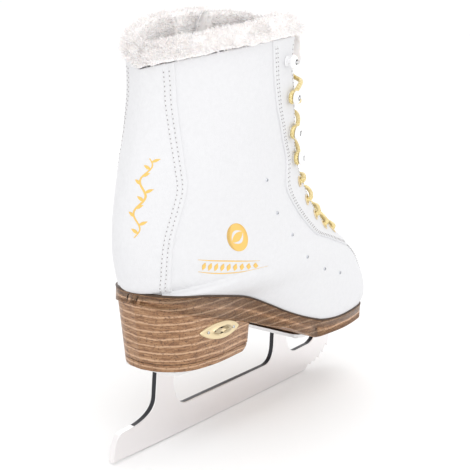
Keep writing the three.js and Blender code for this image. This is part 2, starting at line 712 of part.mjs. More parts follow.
const shankPocket = slab(12, 1,
  (u, v) => shankPoint(u, v, 1, CLEARANCE), (u, v) => shankPoint(u, v, -1, CLEARANCE));

// The steel shank's surface: up is +1 on top and -1 underneath, grown by extra all round.
function shankPoint(u, v, up, extra) {
  const x = lerp(SHANK_START - extra, SHANK_END + extra, u);
  const y = lerp(-SHANK_WIDTH / 2 - extra, SHANK_WIDTH / 2 + extra, v);
  const top = weltTop(x) - 0.4;
  let z = up > 0 ? top : top - SHANK_THICKNESS;
  if (extra > 0) z = up > 0 ? top + 2 : z - extra;
  return new THREE.Vector3(x, y, z);
}

addPiece('welt', cut(solePlate(-WELT_EDGE, weltTop, weltBottom, 24, 2), [shankPocket]),
  DARK_BROWN);
addPiece('shank', slab(12, 1, (u, v) => shankPoint(u, v, 1, 0),
  (u, v) => shankPoint(u, v, -1, 0)), ZINC);
addPiece('outsole', cut(solePlate(-WELT_EDGE, soleTop, soleUnder, 24, 4),
  soleScrews.map(([x, y]) => screwHole(x, y, SOLE_BOTTOM_HEIGHT - 3,
    solePlateBottom + soleScrewReach + CLEARANCE))), STACKED_BROWN);

// The heel at a height: its back leans in towards the bottom, and its breast rounds under
// at its lowest few millimetres.
const heelDown = (z) => (HEEL_SEAT_HEIGHT - z) / (HEEL_SEAT_HEIGHT - HEEL_BOTTOM_HEIGHT);
const heelBack = (z) => -WELT_EDGE + HEEL_REAR_TAPER * heelDown(z);
function heelFront(z) {
  const low = Math.max(0, 1 - (z - HEEL_BOTTOM_HEIGHT) / HEEL_BREAST_ROUND);
  const round = HEEL_BREAST_ROUND * (1 - Math.sqrt(1 - low * low));
  return gradeX(HEEL_BREAST_X) - 2 * heelDown(z) - round;
}
function heelHalf(x, z, side) {
  const f = (x - heelBack(z)) / (gradeX(HEEL_BREAST_X) - heelBack(z));
  const pinch = HEEL_SIDE_TAPER * heelDown(z) * (1 - 0.6 * f);
  const drawn = gradeX(HEEL_BREAST_X) * f;
  return Math.max(0, outlineHalf(drawn, side) + (WELT_EDGE - pinch) * smooth(f * 20));
}
function heelPoint(u, v, z) {
  const x = lerp(heelBack(z), heelFront(z), u * u * 0.6 + u * 0.4);
  const y = u === 0 ? 0 : lerp(-heelHalf(x, z, -1), heelHalf(x, z, 1), v);
  return new THREE.Vector3(x, y, z);
}

const heelScrewHoles = heelScrews.map(([x, y]) => screwHole(x, y, HEEL_BOTTOM_HEIGHT - 1,
  heelPlateBottom + heelScrewReach + CLEARANCE));
const liftTop = HEEL_BOTTOM_HEIGHT + TOP_LIFT_THICKNESS;
function heelBlockTop(u, v) {
  const guess = heelPoint(u, v, HEEL_SEAT_HEIGHT);
  const p = heelPoint(u, v, soleUnder(guess.x) - CLEARANCE);
  p.z = soleUnder(p.x) - CLEARANCE;
  return p;
}
addPiece('heel_block', cut(slab(14, 4, heelBlockTop,
  (u, v) => heelPoint(u, v, liftTop + CLEARANCE)), heelScrewHoles), STACKED_BROWN);
addPiece('heel_top_lift', cut(slab(14, 4, (u, v) => heelPoint(u, v, liftTop),
  (u, v) => heelPoint(u, v, HEEL_BOTTOM_HEIGHT + 0.01)), heelScrewHoles), STACKED_BROWN);

const boardBottom = (x) => seatTop(x) + CLEARANCE;
const boardTop = (x) => boardBottom(x) + INSOLE_BOARD_THICKNESS;
const footbedBottom = (x) => boardTop(x) + CLEARANCE;
const footbedTop = (x) => footbedBottom(x) + FOOTBED_THICKNESS;
addPiece('insole_board', solePlate(INSOLE_BOARD_INSET, boardTop, boardBottom, 18, 2), BOARD);
addPiece('footbed', solePlate(FOOTBED_INSET, footbedTop, footbedBottom, 18, 2), FELT);

// ---------------------------------------------------------------- upper

const underLeather = -LEATHER - CLEARANCE;
const underStiffener = underLeather - STIFFENER - CLEARANCE;
const underLining = underStiffener - LINING;

// |s| of a line set off by mm from another line; positive is towards the front line.
function offsetLine(line, mm, side) {
  return (t) => line(t) + mm / spanOfS(t, side * Math.min(line(t), 0.98));
}

const half = CLEARANCE / 2;
const SIDES = [['lateral', -1], ['medial', 1]];
const backOrFeather = () => 0;

// The panel up the back of the boot.
addPiece('back_panel', wall(SIDES.flatMap(([, side]) => panel(side, 0, BACK_PANEL_END_T,
  backOrFeather, offsetLine(backSeam, -half, side), OVERLAY, -LEATHER))), WHITE_LEATHER);

for (const [name, side] of SIDES) {
  const backEdge = offsetLine(backSeam, half, side);
  const lowEdge = (t) => (t <= HEEL_CORNER_T ? backEdge(t) : 0);
  const facingBack = offsetLine(facingSeam, -half, side);
  const vampEdge = offsetLine(vampSeam, -half, side);
  const frontEdge = (t) => (t <= FACING_END_T ? facingBack(t) : vampEdge(t));
  addPiece(`quarter_${name}`, wall(panel(side, 0, UPPER_END_T, lowEdge, frontEdge, 0,
    -LEATHER)), WHITE_LEATHER);
}

// The vamp covers the toe between the two quarters, and the throat ends at its back edge.
addPiece('vamp', wall(SIDES.flatMap(([, side]) => {
  const edge = offsetLine(vampSeam, half, side);
  return panel(side, FACING_END_T, UPPER_END_T, edge, () => 1, 0, -LEATHER);
})), WHITE_LEATHER);

// ---------------------------------------------------------------- lace holes

// |s| of a point on the facing, so many millimetres back from the throat's edge.
function holeS(t, side, back) {
  const edge = throatS(t, side);
  let s = edge;
  for (let k = 0; k < 4; k += 1) s = edge - back / spanOfS(t, side * (s + edge) / 2);
  return s;
}

function holeAt(t, side, n) {
  const s = side * holeS(t, side, EDGE_TO_HOLE);
  return { base: upperAt(t, s, n), axis: upperNormal(t, s) };
}

function drill(t, side, radius) {
  const { base, axis } = holeAt(t, side, -LEATHER - 2);
  const depth = LEATHER + OVERLAY + 4;
  return turned([[0, 0], [radius, 0], [radius, depth], [0, depth]], ROUND, base, axis);
}

for (const [name, side] of SIDES) {
  const backEdge = offsetLine(facingSeam, half, side);
  const blank = wall(panel(side, 0, FACING_END_T - 0.003, backEdge, (t) => throatS(t, side),
    OVERLAY, -LEATHER));
  const eyeletHole = EYELET_BORE_RADIUS + EYELET_WALL + CLEARANCE;
  addPiece(`facing_${name}`, cut(blank, [
    ...EYELET_T.map((t) => drill(t, side, eyeletHole)),
    ...HOOK_T.map((t) => drill(t, side, HOOK_NECK_RADIUS + CLEARANCE)),
  ]), WHITE_LEATHER);
}

const flangeUnder = OVERLAY + CLEARANCE + FLANGE_STAND;
const flangeTop = flangeUnder + FLANGE;

// An eyelet: a flange on the leather, a barrel through it, and a rolled edge behind.
function eyeletGeometry(t, side) {
  const { base, axis } = holeAt(t, side, 0);
  const bore = EYELET_BORE_RADIUS;
  const barrel = bore + EYELET_WALL;
  const rollTop = -LEATHER - CLEARANCE - FLANGE_STAND;
  const profile = [[bore, rollTop - FLANGE], [barrel + 0.8, rollTop - FLANGE],
    [barrel + 0.8, rollTop], [barrel, rollTop], [barrel, flangeUnder],
    [EYELET_FLANGE_RADIUS, flangeUnder], [EYELET_FLANGE_RADIUS - 0.5, flangeTop],
    [bore, flangeTop], [bore, rollTop - FLANGE]];
  return turned(profile, ROUND, base, axis);
}

// A lacing hook: a shank riveted through the facing, a neck, and a domed cap.
function hookGeometry(t, side) {
  const { base, axis } = holeAt(t, side, 0);
  const cap = flangeTop + LACE_DIAMETER + 2 * CLEARANCE;
  const profile = [[0, -LEATHER], [HOOK_NECK_RADIUS, -LEATHER],
    [HOOK_NECK_RADIUS, flangeUnder], [HOOK_FLANGE_RADIUS, flangeUnder],
    [HOOK_FLANGE_RADIUS, flangeTop], [HOOK_NECK_RADIUS, flangeTop], [HOOK_NECK_RADIUS, cap],
    [HOOK_CAP_RADIUS, cap], [HOOK_CAP_RADIUS * 0.8, cap + HOOK_CAP_HEIGHT * 0.66],
    [0, cap + HOOK_CAP_HEIGHT]];
  return turned(profile, ROUND, base, axis);
}

for (const [name, side] of SIDES) {
  EYELET_T.forEach((t, k) => {
    addPiece(`eyelet_${name}_${k + 1}`, eyeletGeometry(t, side), PALE_GOLD);
  });
  HOOK_T.forEach((t, k) => {
    addPiece(`hook_${name}_${k + 1}`, hookGeometry(t, side), GLOSS_WHITE);
  });
}

// ---------------------------------------------------------------- inside the boot

// The lining and padding stop short of the lace holes, so the lace has room to turn.
const liningBack = (EDGE_TO_HOLE + LACE_DIAMETER + 2.7) * SOLE_LENGTH / DRAWN.length;
const liningEdge = (side) => (t) => {
  if (t > LINING_CLOSE_T) return 1;
  const open = throatS(t, side);
  return open - liningBack / spanOfS(t, side * (open - 0.08));
};

// Two walls that join at the back of the shaft, each running forward to its own edge.
function sleeve(t0, t1, from, edge, outerN, innerN) {
  return SIDES.flatMap(([, side]) => panel(side, t0, t1, () => from, edge(side),
    outerN, innerN));
}

const stiffenerUnder = underStiffener + 2 * CLEARANCE;
addPiece('ankle_padding', wall(sleeve(0.004, 0.48, 0, liningEdge, underLeather,
  stiffenerUnder)), BOARD);
addPiece('heel_counter', wall(sleeve(0.49, 0.65, 0, () => () => 0.4,
  underLeather, stiffenerUnder)), BOARD);
addPiece('toe_puff', wall(sleeve(0.92, 0.965, 0.12, () => () => 1, underLeather,
  stiffenerUnder)), BOARD);
addPiece('lining', wall(sleeve(0.004, 0.985, 0, liningEdge, underStiffener, underLining)),
  FELT);

// ---------------------------------------------------------------- fur collar

// A closed outline carried through a list of stations, point for point, and capped at both
// ends with the outline's own flat triangles.
function loft(sections, outline) {
  const m = outline.length;
  const faces = [];
  for (let i = 0; i < sections.length - 1; i += 1) {
    for (let j = 0; j < m; j += 1) {
      const a = i * m + j;
      const b = i * m + (j + 1) % m;
      faces.push([a, b, b + m], [a, b + m, a + m]);
    }
  }
  const clockwise = THREE.ShapeUtils.isClockWise(outline);
  const cap = THREE.ShapeUtils.triangulateShape(outline, []);
  const lastRow = (sections.length - 1) * m;
  for (const [a, b, c] of cap) {
    const start = clockwise ? [a, b, c] : [a, c, b];
    const end = clockwise ? [a, c, b] : [a, b, c];
    faces.push(start, end.map((k) => k + lastRow));
  }
  return closedGeometry(sections.flat(), faces);
}

// Point of the collar region: height h above the leather's top edge, n out from its face.
const tPerMillimetre = 0.25 / (39 * SHAFT_HEIGHT / DRAWN.shaft);
function collarPoint(s, n, h) {
  if (h < 0) return upperAt(-h * tPerMillimetre, s, n);
  return upperAt(0, s, n).addScaledVector(UP, h);
}

// |s| where the fur collar ends.
const furEnd = (side) => sAtHalfWidth(0, gradeY(FUR_END_HALF), side) - 0.02;

// Past the facing's edge the collar turns down; its inner flap stays at its own depth.
function sagged(s, h) {
  const side = s < 0 ? -1 : 1;
  const start = throatS(0, side) + FUR_DROP_START;
  const past = smooth((Math.abs(s) - start) / (furEnd(side) - start));
  return h - FUR_DROP * past * Math.min(1, (h + flapDepth) / flapDepth);
}

const furOut = FUR_BULGE;
const furIn = underLining - CLEARANCE;
const flapTs = GRID_T.filter((t) => t > 0.01 && t <= FUR_INSIDE_T);
const flapDepth = flapTs[flapTs.length - 1] / tPerMillimetre;
const FUR_SECTION = [...flapTs.map((t) => [furIn, -t / tPerMillimetre]),
  [furIn - 4, 3 - flapDepth],
  [furIn - 5.5, -10], [furIn - 5, 4], [furIn + 1, 11], [-1, FUR_CREST], [furOut - 2, 10],
  [furOut, 4.5], [furOut - 2.5, 1.2], [furIn, 1]];
const furStations = SIDES.map(([, side]) => {
  const end = furEnd(side);
  const start = throatS(0, side) + FUR_DROP_START;
  const past = [start, (start + end) / 2, end];
  return [...GRID_Q.filter((q) => q > 0 && q < start - 0.01), ...past].map((q) => side * q);
});
const furRing = [...furStations[0].reverse(), 0, ...furStations[1]];
addPiece('fur_collar', loft(
  furRing.map((s) => FUR_SECTION.map(([n, h]) => collarPoint(s, n, sagged(s, h)))),
  FUR_SECTION.map(([n, h]) => new THREE.Vector2(n, h)),
), FUR);

// ---------------------------------------------------------------- tongue

const laceRadius = LACE_DIAMETER / 2;
const underFacing = -LEATHER - CLEARANCE - FLANGE_STAND - FLANGE - CLEARANCE - laceRadius - 0.3;
const underLace = underFacing - laceRadius - CLEARANCE - 0.4;

// How far across the throat a point lies: 0 at its edge, 1 in the middle.
function throatFraction(t, s) {
  const reach = throatHalf(Math.min(t, 0.76));
  const q = Math.abs(s);
  const across = gradeY(s < 0 ? widthOuter(t) : widthInner(t))
    * Math.max(0, 1 - Math.cos(Math.PI * q) ** 2) ** (1 / roundFront(t));
  return q < 0.5 ? 0 : 1 - across / reach;
}

// Depth of the tongue's face: under the fur and the lining at its sides, up between the
// facings in the middle.
function tongueDepth(t, s) {
  const underFur = furIn - 6.2;
  const underBoth = Math.min(underLining - CLEARANCE - 0.6, underLace);
  const sides = lerp(underFur, underBoth, smooth((t - 0.2) / 0.1));
  const middle = lerp(TONGUE_FACE, sides, smooth((t - 0.7) / 0.06));
  const rise = smooth((throatFraction(t, s) - 0.3) / 0.6);
  return lerp(sides, middle, rise);
}

function tonguePoint(u, v, extra) {
  const t = lerp(0, TONGUE_BASE_T, Math.max(0, (u - 0.1) / 0.9));
  const h = TONGUE_ABOVE * Math.max(0, 1 - u / 0.1);
  const reachT = Math.min(t, 0.74);
  const shoulder = 8 * (h / TONGUE_ABOVE) ** 2;
  const side = v < 0.5 ? -1 : 1;
  const open = throatS(reachT, side);
  const edge = open - (TONGUE_WING - shoulder) / spanOfS(reachT, side * (open - 0.1));
  const narrow = lerp(edge, 0.72, smooth((t - 0.72) / 0.1));
  const s = side * lerp(1, narrow, Math.abs(v * 2 - 1));
  const p = upperAt(t, s, tongueDepth(t, s) + extra);
  p.z += h;
  return p;
}

const padFace = -TONGUE_LEATHER - CLEARANCE - 0.2;
const padRows = Math.round(TONGUE_ROWS * PAD_REACH);
const padU = (u) => u * padRows / TONGUE_ROWS;
addPiece('tongue', slab(TONGUE_ROWS, 8, (u, v) => tonguePoint(u, v, 0),
  (u, v) => tonguePoint(u, v, -TONGUE_LEATHER)), WHITE_LEATHER);
addPiece('tongue_pad', slab(padRows, 8, (u, v) => tonguePoint(padU(u), v, padFace),
  (u, v) => tonguePoint(padU(u), v, padFace - TONGUE_PAD)), FUR);

// ---------------------------------------------------------------- lace

const overEdge = OVERLAY + CLEARANCE + laceRadius + 0.2;
const overFlange = flangeTop + CLEARANCE + laceRadius + 0.1;
const overTongue = TONGUE_FACE + CLEARANCE + laceRadius + 0.3;
const crossingLift = LACE_DIAMETER + CLEARANCE + 0.2;

// Point over the facing, mm forward of the line of holes and at height n.
function overFacing(t, side, forward, n) {
  return upperAt(t, side * holeS(t, side, EDGE_TO_HOLE - forward), n);
}

// Through an eyelet from the top, then forward underneath to the throat's edge.
function throughEyelet(t, side) {
  return [[6, overFlange], [2.4, overFlange], [0.6, overFlange - 1.0], [0, 1.2], [0, -1.4],
    [0.9, underFacing + 1], [3.2, underFacing], [7.5, underFacing]]
    .map(([forward, n]) => overFacing(t, side, forward, n));
}

// Round the back of a hook's neck, from its toe side to its collar side.
function roundHook(t, side) {
  const centre = overFacing(t, side, 0, overFlange);
  const forward = overFacing(t, side, 2, overFlange).sub(centre).normalize();
  const axis = upperNormal(t, side * holeS(t, side, EDGE_TO_HOLE));
  const up = upperAt(t - 0.02, side * holeS(t - 0.02, side, EDGE_TO_HOLE), overFlange)
    .sub(centre);
  up.addScaledVector(forward, -up.dot(forward)).addScaledVector(axis, -up.dot(axis));
  up.normalize();
  const r = HOOK_NECK_RADIUS + CLEARANCE + laceRadius + 0.1;
  const points = [];
  for (const degrees of [-60, -90, -135, 180, 135, 90, 60]) {
    const angle = degrees * Math.PI / 180;
    const ahead = Math.abs(degrees) < 80 ? 3.4 : r * Math.cos(angle);
    const beside = r * Math.sign(Math.sin(angle) || 0)
      * (Math.abs(degrees) < 80 ? 1 : Math.abs(Math.sin(angle)));
    points.push(centre.clone().addScaledVector(forward, ahead)
      .addScaledVector(up, degrees === 180 ? 0 : beside));
  }
  return points;
}

// Across the throat from one side to the other, over the tongue.
function across(tA, tB, sideA, fromUnder, lift) {
  const points = [];
  const steps = fromUnder ? [0.02, 0.14, 0.26, 0.36, 0.5, 0.68, 0.86, 1] : [0, 0.2, 0.36, 0.5,
    0.64, 0.8, 1];
  for (const g of steps) {
    const t = lerp(tA, tB, g);
    const y = 1 - 2 * g;
    const side = y >= 0 ? sideA : -sideA;
    const s = side * sAtHalfWidth(t, Math.abs(y) * throatHalf(t), side);
    const middle = overTongue + lift * smooth((1 - Math.abs(y)) / 0.8);
    const under = lerp(underFacing, middle, smooth((0.98 - Math.abs(y)) / 0.72));
    const over = lerp(overEdge, middle, smooth((1 - Math.abs(y)) / 0.8));
    points.push(upperAt(t, s, fromUnder && y > 0 ? under : over));
  }
  return points;
}

// One strand, from the lowest eyelet on a side up to the second hook, changing sides at
// every step and passing over the tongue, with its end tucked behind the facing.
function strand(firstSide, lift) {
  const rows = [...EYELET_T].reverse();
  const hooks = [...HOOK_T].reverse().slice(0, 3);
  const points = [];
  let side = firstSide;
  rows.forEach((t, k) => {
    points.push(...throughEyelet(t, side));
    const next = k + 1 < rows.length ? rows[k + 1] : hooks[0] + HOOK_APPROACH;
    const start = t;
    points.push(...across(start - 0.002, next + 0.002, side, true, lift));
    side = -side;
  });
  hooks.forEach((t, k) => {
    points.push(...roundHook(t, side));
    if (k + 1 < hooks.length) {
      points.push(...across(t - HOOK_APPROACH, hooks[k + 1] + HOOK_APPROACH, side, false, lift));
      side = -side;
    } else {
      const tuck = [[0.05, overEdge - 0.2], [0.2, 1.2], [0.3, -2.4], [0.26, -4.4], [0.16, -4.8]];
      tuck.forEach(([f, n], i) => {
        const tt = t - HOOK_APPROACH - 0.006 * (i + 1);
        const s = side * sAtHalfWidth(tt, (1 - f) * throatHalf(tt), side);
        points.push(upperAt(tt, s, n));
      });
    }
  });
  return points;
}

// The route keeps its own spacing: close points where the lace turns, wide ones elsewhere.
class LaceRoute extends THREE.CatmullRomCurve3 {
  getSpacedPoints(divisions) {
    return this.getPoints(divisions);
  }

  getTangentAt(u, target) {
    return this.getTangent(u, target);
  }
}

function laceGeometry() {
  const first = strand(-1, 0).reverse();
  const second = strand(1, crossingLift);
  const low = EYELET_T[EYELET_T.length - 1];
  const bar = [];
  for (const y of [0.9, 0.45, 0, -0.45, -0.9]) {
    const side = y >= 0 ? -1 : 1;
    const s = side * sAtHalfWidth(low, Math.abs(y) * throatHalf(low), side);
    bar.push(upperAt(low, s, overEdge + 0.2));
  }
  const route = new LaceRoute([...first, ...bar, ...second], false, 'centripetal');
  const section = new THREE.Shape();
  for (let k = 0; k < 8; k += 1) {
    const angle = 2 * Math.PI * k / 8;
    const x = laceRadius * Math.cos(angle);
    const y = laceRadius * Math.sin(angle);
    if (k === 0) section.moveTo(x, y);
    else section.lineTo(x, y);
  }
  section.closePath();
  return new THREE.ExtrudeGeometry(section, {
    extrudePath: route, steps: route.points.length - 1, bevelEnabled: false,
  });
}
addPiece('lace', laceGeometry(), GOLD_THREAD);

// ---------------------------------------------------------------- badge

// Point on the heel's outer side, out from its face by n.
function heelSide(x, z, n) {
  return new THREE.Vector3(x, -heelHalf(x, z, -1) - n, z);
}

function badgePoint(u, v, n) {
  const along = lerp(-1, 1, easeEnds(u));
  const across2 = (v - 0.5) * BADGE_HEIGHT * (1 - along * along);
  const tilt = BADGE_TILT * Math.PI / 180;
  const dx = along * BADGE_LENGTH / 2;
  const x = BADGE_X + dx * Math.cos(tilt) - across2 * Math.sin(tilt);
  const z = BADGE_Z + dx * Math.sin(tilt) + across2 * Math.cos(tilt);
  return heelSide(x, z, n);
}
addPiece('badge', slab(10, 2, (u, v) => badgePoint(u, v, CLEARANCE + BADGE_THICKNESS),
  (u, v) => badgePoint(u, v, CLEARANCE)), PALE_GOLD);
for (const end of [-1, 1]) {
  const u = 0.5 + end * 0.33;
  const base = badgePoint(u, 0.5, 2 * CLEARANCE + BADGE_THICKNESS);
  const profile = [[0, 0], [RIVET_RADIUS, 0], [RIVET_RADIUS * 0.8, RIVET_RADIUS * 0.5],
    [0, RIVET_RADIUS * 0.75]];
  const out = new THREE.Vector3(0, -1, 0);
  addPiece(`badge_rivet_${end < 0 ? 'rear' : 'front'}`, turned(profile, ROUND, base, out),
    PALE_GOLD);
}

export default skate;
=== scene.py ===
import math

import bpy
import numpy as np
from mathutils import Matrix, Vector


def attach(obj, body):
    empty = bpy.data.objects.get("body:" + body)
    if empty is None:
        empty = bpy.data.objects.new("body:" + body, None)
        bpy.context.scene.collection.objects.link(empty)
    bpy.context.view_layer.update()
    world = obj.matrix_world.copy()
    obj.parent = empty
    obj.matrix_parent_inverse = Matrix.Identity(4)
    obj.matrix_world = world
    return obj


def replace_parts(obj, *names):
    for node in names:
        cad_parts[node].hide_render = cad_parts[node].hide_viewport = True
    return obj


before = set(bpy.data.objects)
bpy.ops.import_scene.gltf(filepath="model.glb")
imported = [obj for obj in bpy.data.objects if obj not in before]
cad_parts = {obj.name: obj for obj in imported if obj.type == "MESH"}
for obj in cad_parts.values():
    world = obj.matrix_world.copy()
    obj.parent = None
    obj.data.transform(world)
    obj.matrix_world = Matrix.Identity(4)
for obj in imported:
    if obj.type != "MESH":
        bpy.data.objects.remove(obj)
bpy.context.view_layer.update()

MM = 0.001
ORIGIN_X = 117.0
SOLE_LENGTH = 254
SHAFT_HEIGHT = 139
TOE_SWING = 5
TOP_ARCH = 10
rng = np.random.default_rng(7)

# ------------------------------------------------------------------ curves of the last


def hermite(xs, ys, m):
    """A curve through (xs, ys) with slope m at each point: on each stretch, a cubic that meets both
    ends and both slopes."""
    def at(x):
        x = np.clip(x, xs[0], xs[-1])
        i = np.clip(np.searchsorted(xs, x, side="left") - 1, 0, len(xs) - 2)
        h = xs[i + 1] - xs[i]
        s = (x - xs[i]) / h
        s2 = s * s
        s3 = s2 * s
        return ((2 * s3 - 3 * s2 + 1) * ys[i] + (s3 - 2 * s2 + s) * h * m[i]
                + (3 * s2 - 2 * s3) * ys[i + 1] + (s3 - s2) * h * m[i + 1])
    return at


def steady(xs, ys):
    """A smooth curve through the points whose slopes are held back so that it never overshoots them."""
    xs, ys = np.array(xs, float), np.array(ys, float)
    h, d = np.diff(xs), np.diff(ys) / np.diff(xs)
    m = np.zeros(len(xs))
    m[0], m[-1] = d[0], d[-1]
    w1, w2 = 2 * h[1:] + h[:-1], h[1:] + 2 * h[:-1]
    same = d[:-1] * d[1:] > 0
    safe = np.where(same, d[:-1] * d[1:], 1)
    mean = (w1 + w2) * safe / (w1 * np.where(same, d[1:], 1) + w2 * np.where(same, d[:-1], 1))
    m[1:-1] = np.where(same, mean, 0)
    return hermite(xs, ys, m)


def flowing(xs, ys):
    """A rounder curve through the points: the slope at each is that of the line between its
    neighbours."""
    xs, ys = np.array(xs, float), np.array(ys, float)
    k = np.arange(len(xs))
    a, b = np.maximum(k - 1, 0), np.minimum(k + 1, len(xs) - 1)
    return hermite(xs, ys, (ys[b] - ys[a]) / (xs[b] - xs[a]))


def smooth(x):
    """Rises from 0 to 1 with flat ends."""
    s = np.clip(x, 0, 1)
    return s * s * (3 - 2 * s)


def mix(a, b, f):
    """Goes from a to b as f goes from 0 to 1."""
    return a + (b - a) * f


SEAT = np.array([[0, 110], [25, 107.5], [66, 99.5], [85, 94.5], [112, 83.3], [130, 75],
                 [154, 66], [172, 61.3], [190, 60], [254, 60]])
seat_top = steady(SEAT[:, 0], SEAT[:, 1])
OUTLINE_X = [0, 3, 9, 17, 28, 50, 86, 120, 165, 200, 225, 240, 249, 253, 254]
outer_half = steady(OUTLINE_X, [0, 12.5, 20.5, 26.5, 30, 32, 30.5, 34, 43.5, 47.5, 45.5, 37, 25, 12, 0])
inner_half = steady(OUTLINE_X, [0, 12.5, 20, 25, 28, 29.5, 27, 29, 36.5, 38.5, 34.5, 27, 18, 9, 0])
UNDER = np.array([[0, 101.5], [90, 75.2], [107, 69], [131, 62.3], [149, 54.5], [161, 49.6],
                  [169, 49], [236, 49], [246, 49.2], [254, 50.5]])
sole_under = steady(UNDER[:, 0], UNDER[:, 1])


def outline_half(x, side):
    """Half width of the sole at x, on the outer side (-1) or the inner side (+1)."""
    return np.where(side < 0, outer_half(x), inner_half(x))


def swing(x):
    """How far the middle of the sole swings inwards towards the toe."""
    return TOE_SWING * smooth((x / SOLE_LENGTH - 0.47) / 0.53)


CUTS = np.array([
    # t      Bx    Bz   Fx     Fz    wOut  wIn   wide  back  front
    [0.000, 2.5, 249, 156, 262, 42.5, 42.5, 0.48, 1.75, 2.4],
    [0.120, 4.0, 232, 156, 240, 42, 42, 0.48, 1.75, 2.4],
    [0.250, 1.0, 210, 156, 214, 41, 41, 0.49, 1.75, 2.4],
    [0.370, -4.5, 188, 159, 191, 40, 40, 0.50, 1.8, 2.3],
    [0.480, -9.5, 165, 168.5, 173, 40, 39.5, 0.52, 1.85, 2.2],
    [0.580, -12, 143, 183.5, 156, 40.5, 39, 0.55, 1.9, 2.1],
    [0.660, -8.5, 122, 199, 141, 41.5, 38, 0.58, 2, 2],
    [0.715, 0, 110, 211, 129, 43, 38, 0.60, 2, 2],
    [0.770, 38, 105.5, 223.5, 119, 44.5, 38, 0.62, 2, 2],
    [0.830, 90, 92.7, 237, 110, 45.5, 38, 0.60, 2, 2.1],
    [0.890, 150, 67.4, 248, 103, 47.5, 39, 0.45, 2, 2.2],
    [0.940, 200, 60, 252.5, 92, 48.5, 39, 0.22, 2, 2.3],
    [0.975, 234, 60, 253, 77, 43, 32, 0.08, 2, 2.4],
    [1.000, 254, 60, 254.2, 60.3, 1, 1, 0.05, 2, 2.2]])
CORNER = 0.715
back_x, back_z, front_x, front_z = [flowing(CUTS[:, 0], CUTS[:, j]) for j in range(1, 5)]
width_outer, width_inner, widest, round_back, round_front = [
    steady(CUTS[:, 0], CUTS[:, j]) for j in range(5, 10)]


def face(t, s):
    """The upper's outer surface in millimetres. Each t is one cut across the boot, from its back line
    (or the sole's edge) to its front line; s runs round that cut, negative on the outer side. Both
    halves of a cut are rounded squares, as wide as the cut's own width."""
    t, s = np.broadcast_arrays(np.asarray(t, float), np.asarray(s, float))
    s = np.where(s > 1, s - 2, s)
    s = np.where(s < -1, s + 2, s)
    side = np.where(s < 0, -1.0, 1.0)
    q = np.abs(s)
    x0 = back_x(t)
    low = t > CORNER
    z0 = np.where(low, seat_top(x0), back_z(t))
    feather = np.where(low, outline_half(x0, side), 0)
    wide = np.where(side < 0, width_outer(t), width_inner(t))
    w = np.maximum(wide, feather + 0.01)
    r = feather / w
    a0 = widest(t)
    c = np.abs(np.cos(np.pi * q))
    nb, nf = round_back(t), round_front(t)
    rear = q < 0.5
    a = np.where(rear, a0 * (1 - c ** (2 / nb)), a0 + (1 - a0) * c ** (2 / nf))
    y = np.where(rear, w * np.maximum(0, 1 - (1 - r ** nb) * c * c) ** (1 / nb),
                 w * np.maximum(0, 1 - c * c) ** (1 / nf))
    x = mix(x0, front_x(t), a)
    arch = TOP_ARCH * np.sin(np.pi * q) * np.maximum(0, 1 - t / 0.3) ** 2
    return np.stack([x, side * y + swing(x), mix(z0, front_z(t), a) + arch], -1)


def unit(v):
    """Each vector at length 1."""
    return v / np.maximum(np.linalg.norm(v, axis=-1, keepdims=True), 1e-9)


def normal(t, s):
    """The direction straight out of the upper at (t, s)."""
    t, s = np.broadcast_arrays(np.asarray(t, float), np.asarray(s, float))
    t = np.clip(t, 0.002, 0.996)
    side = np.where(s < 0, -1.0, 1.0)
    s = np.where(t > CORNER - 0.004, side * np.maximum(np.abs(s), 0.006), s)
    ds = face(t, s + 0.005) - face(t, s - 0.005)
    dt = face(t + 0.002, s) - face(t - 0.002, s)
    return unit(np.cross(ds, dt))


def upper(t, s, n=0.0):
    """Points at height n above the upper's surface, never below the sole's edge."""
    t, s, n = np.broadcast_arrays(np.asarray(t, float), np.asarray(s, float), np.asarray(n, float))
    p = face(t, s) + normal(t, s) * n[..., None]
    floor = seat_top(p[..., 0]) + 0.05
    p[..., 2] = np.where((t > 0.6) & (p[..., 2] < floor), floor, p[..., 2])
    return p


def s_at(t, y, side):
    """|s| of the point at half width y on the front half of the cut at t."""
    w = np.where(side < 0, width_outer(t), width_inner(t))
    c = np.sqrt(np.maximum(0, 1 - np.minimum(1, y / w) ** round_front(t)))
    return 1 - np.arccos(c) / np.pi


def span(t, s):
    """Millimetres on the surface for one unit of s."""
    return np.linalg.norm(face(t, s + 0.004) - face(t, s - 0.004), axis=-1) / 0.008


THROAT_T = 0.805
THROAT = np.array([[0, 39.5], [0.07, 39.5], [0.18, 37], [0.3, 33.5], [0.41, 29.5], [0.52, 28.5], [0.6, 28.5],
                   [0.67, 27.5], [0.72, 25.5], [0.76, 21.5], [0.785, 15], [0.8, 6], [THROAT_T, 0]])
throat_half = steady(THROAT[:, 0], THROAT[:, 1])
back_seam = steady([0, 0.12, 0.25, 0.36, 0.43, 0.5, 0.57, 0.62, 0.68, CORNER],
                   [0.152, 0.159, 0.188, 0.221, 0.235, 0.221, 0.2, 0.186, 0.166, 0.15])
facing_seam = steady([0, 0.1, 0.2, 0.3, 0.4, 0.52, 0.66, 0.76, 0.83],
                     [0.515, 0.525, 0.549, 0.59, 0.63, 0.6, 0.625, 0.66, 0.70])
vamp_seam = steady([0.76, 0.83, 0.9, 1], [0.66, 0.70, 0.72, 0.74])
FACING_END_T = 0.83
HOOK_T = [0.068, 0.18, 0.3, 0.41]
EYELET_T = [0.515, 0.597, 0.665, 0.717, 0.762]


def throat_s(t, side):
    """|s| of the throat's edge."""
    return np.where(t >= THROAT_T, 1.0, s_at(t, throat_half(t), side))


# ------------------------------------------------------------------ making meshes


def part_frame(points):
    """Millimetres measured from the heel's back, turned to metres in the part's own frame."""
    return (np.asarray(points, float) - [ORIGIN_X, 0, 0]) * MM


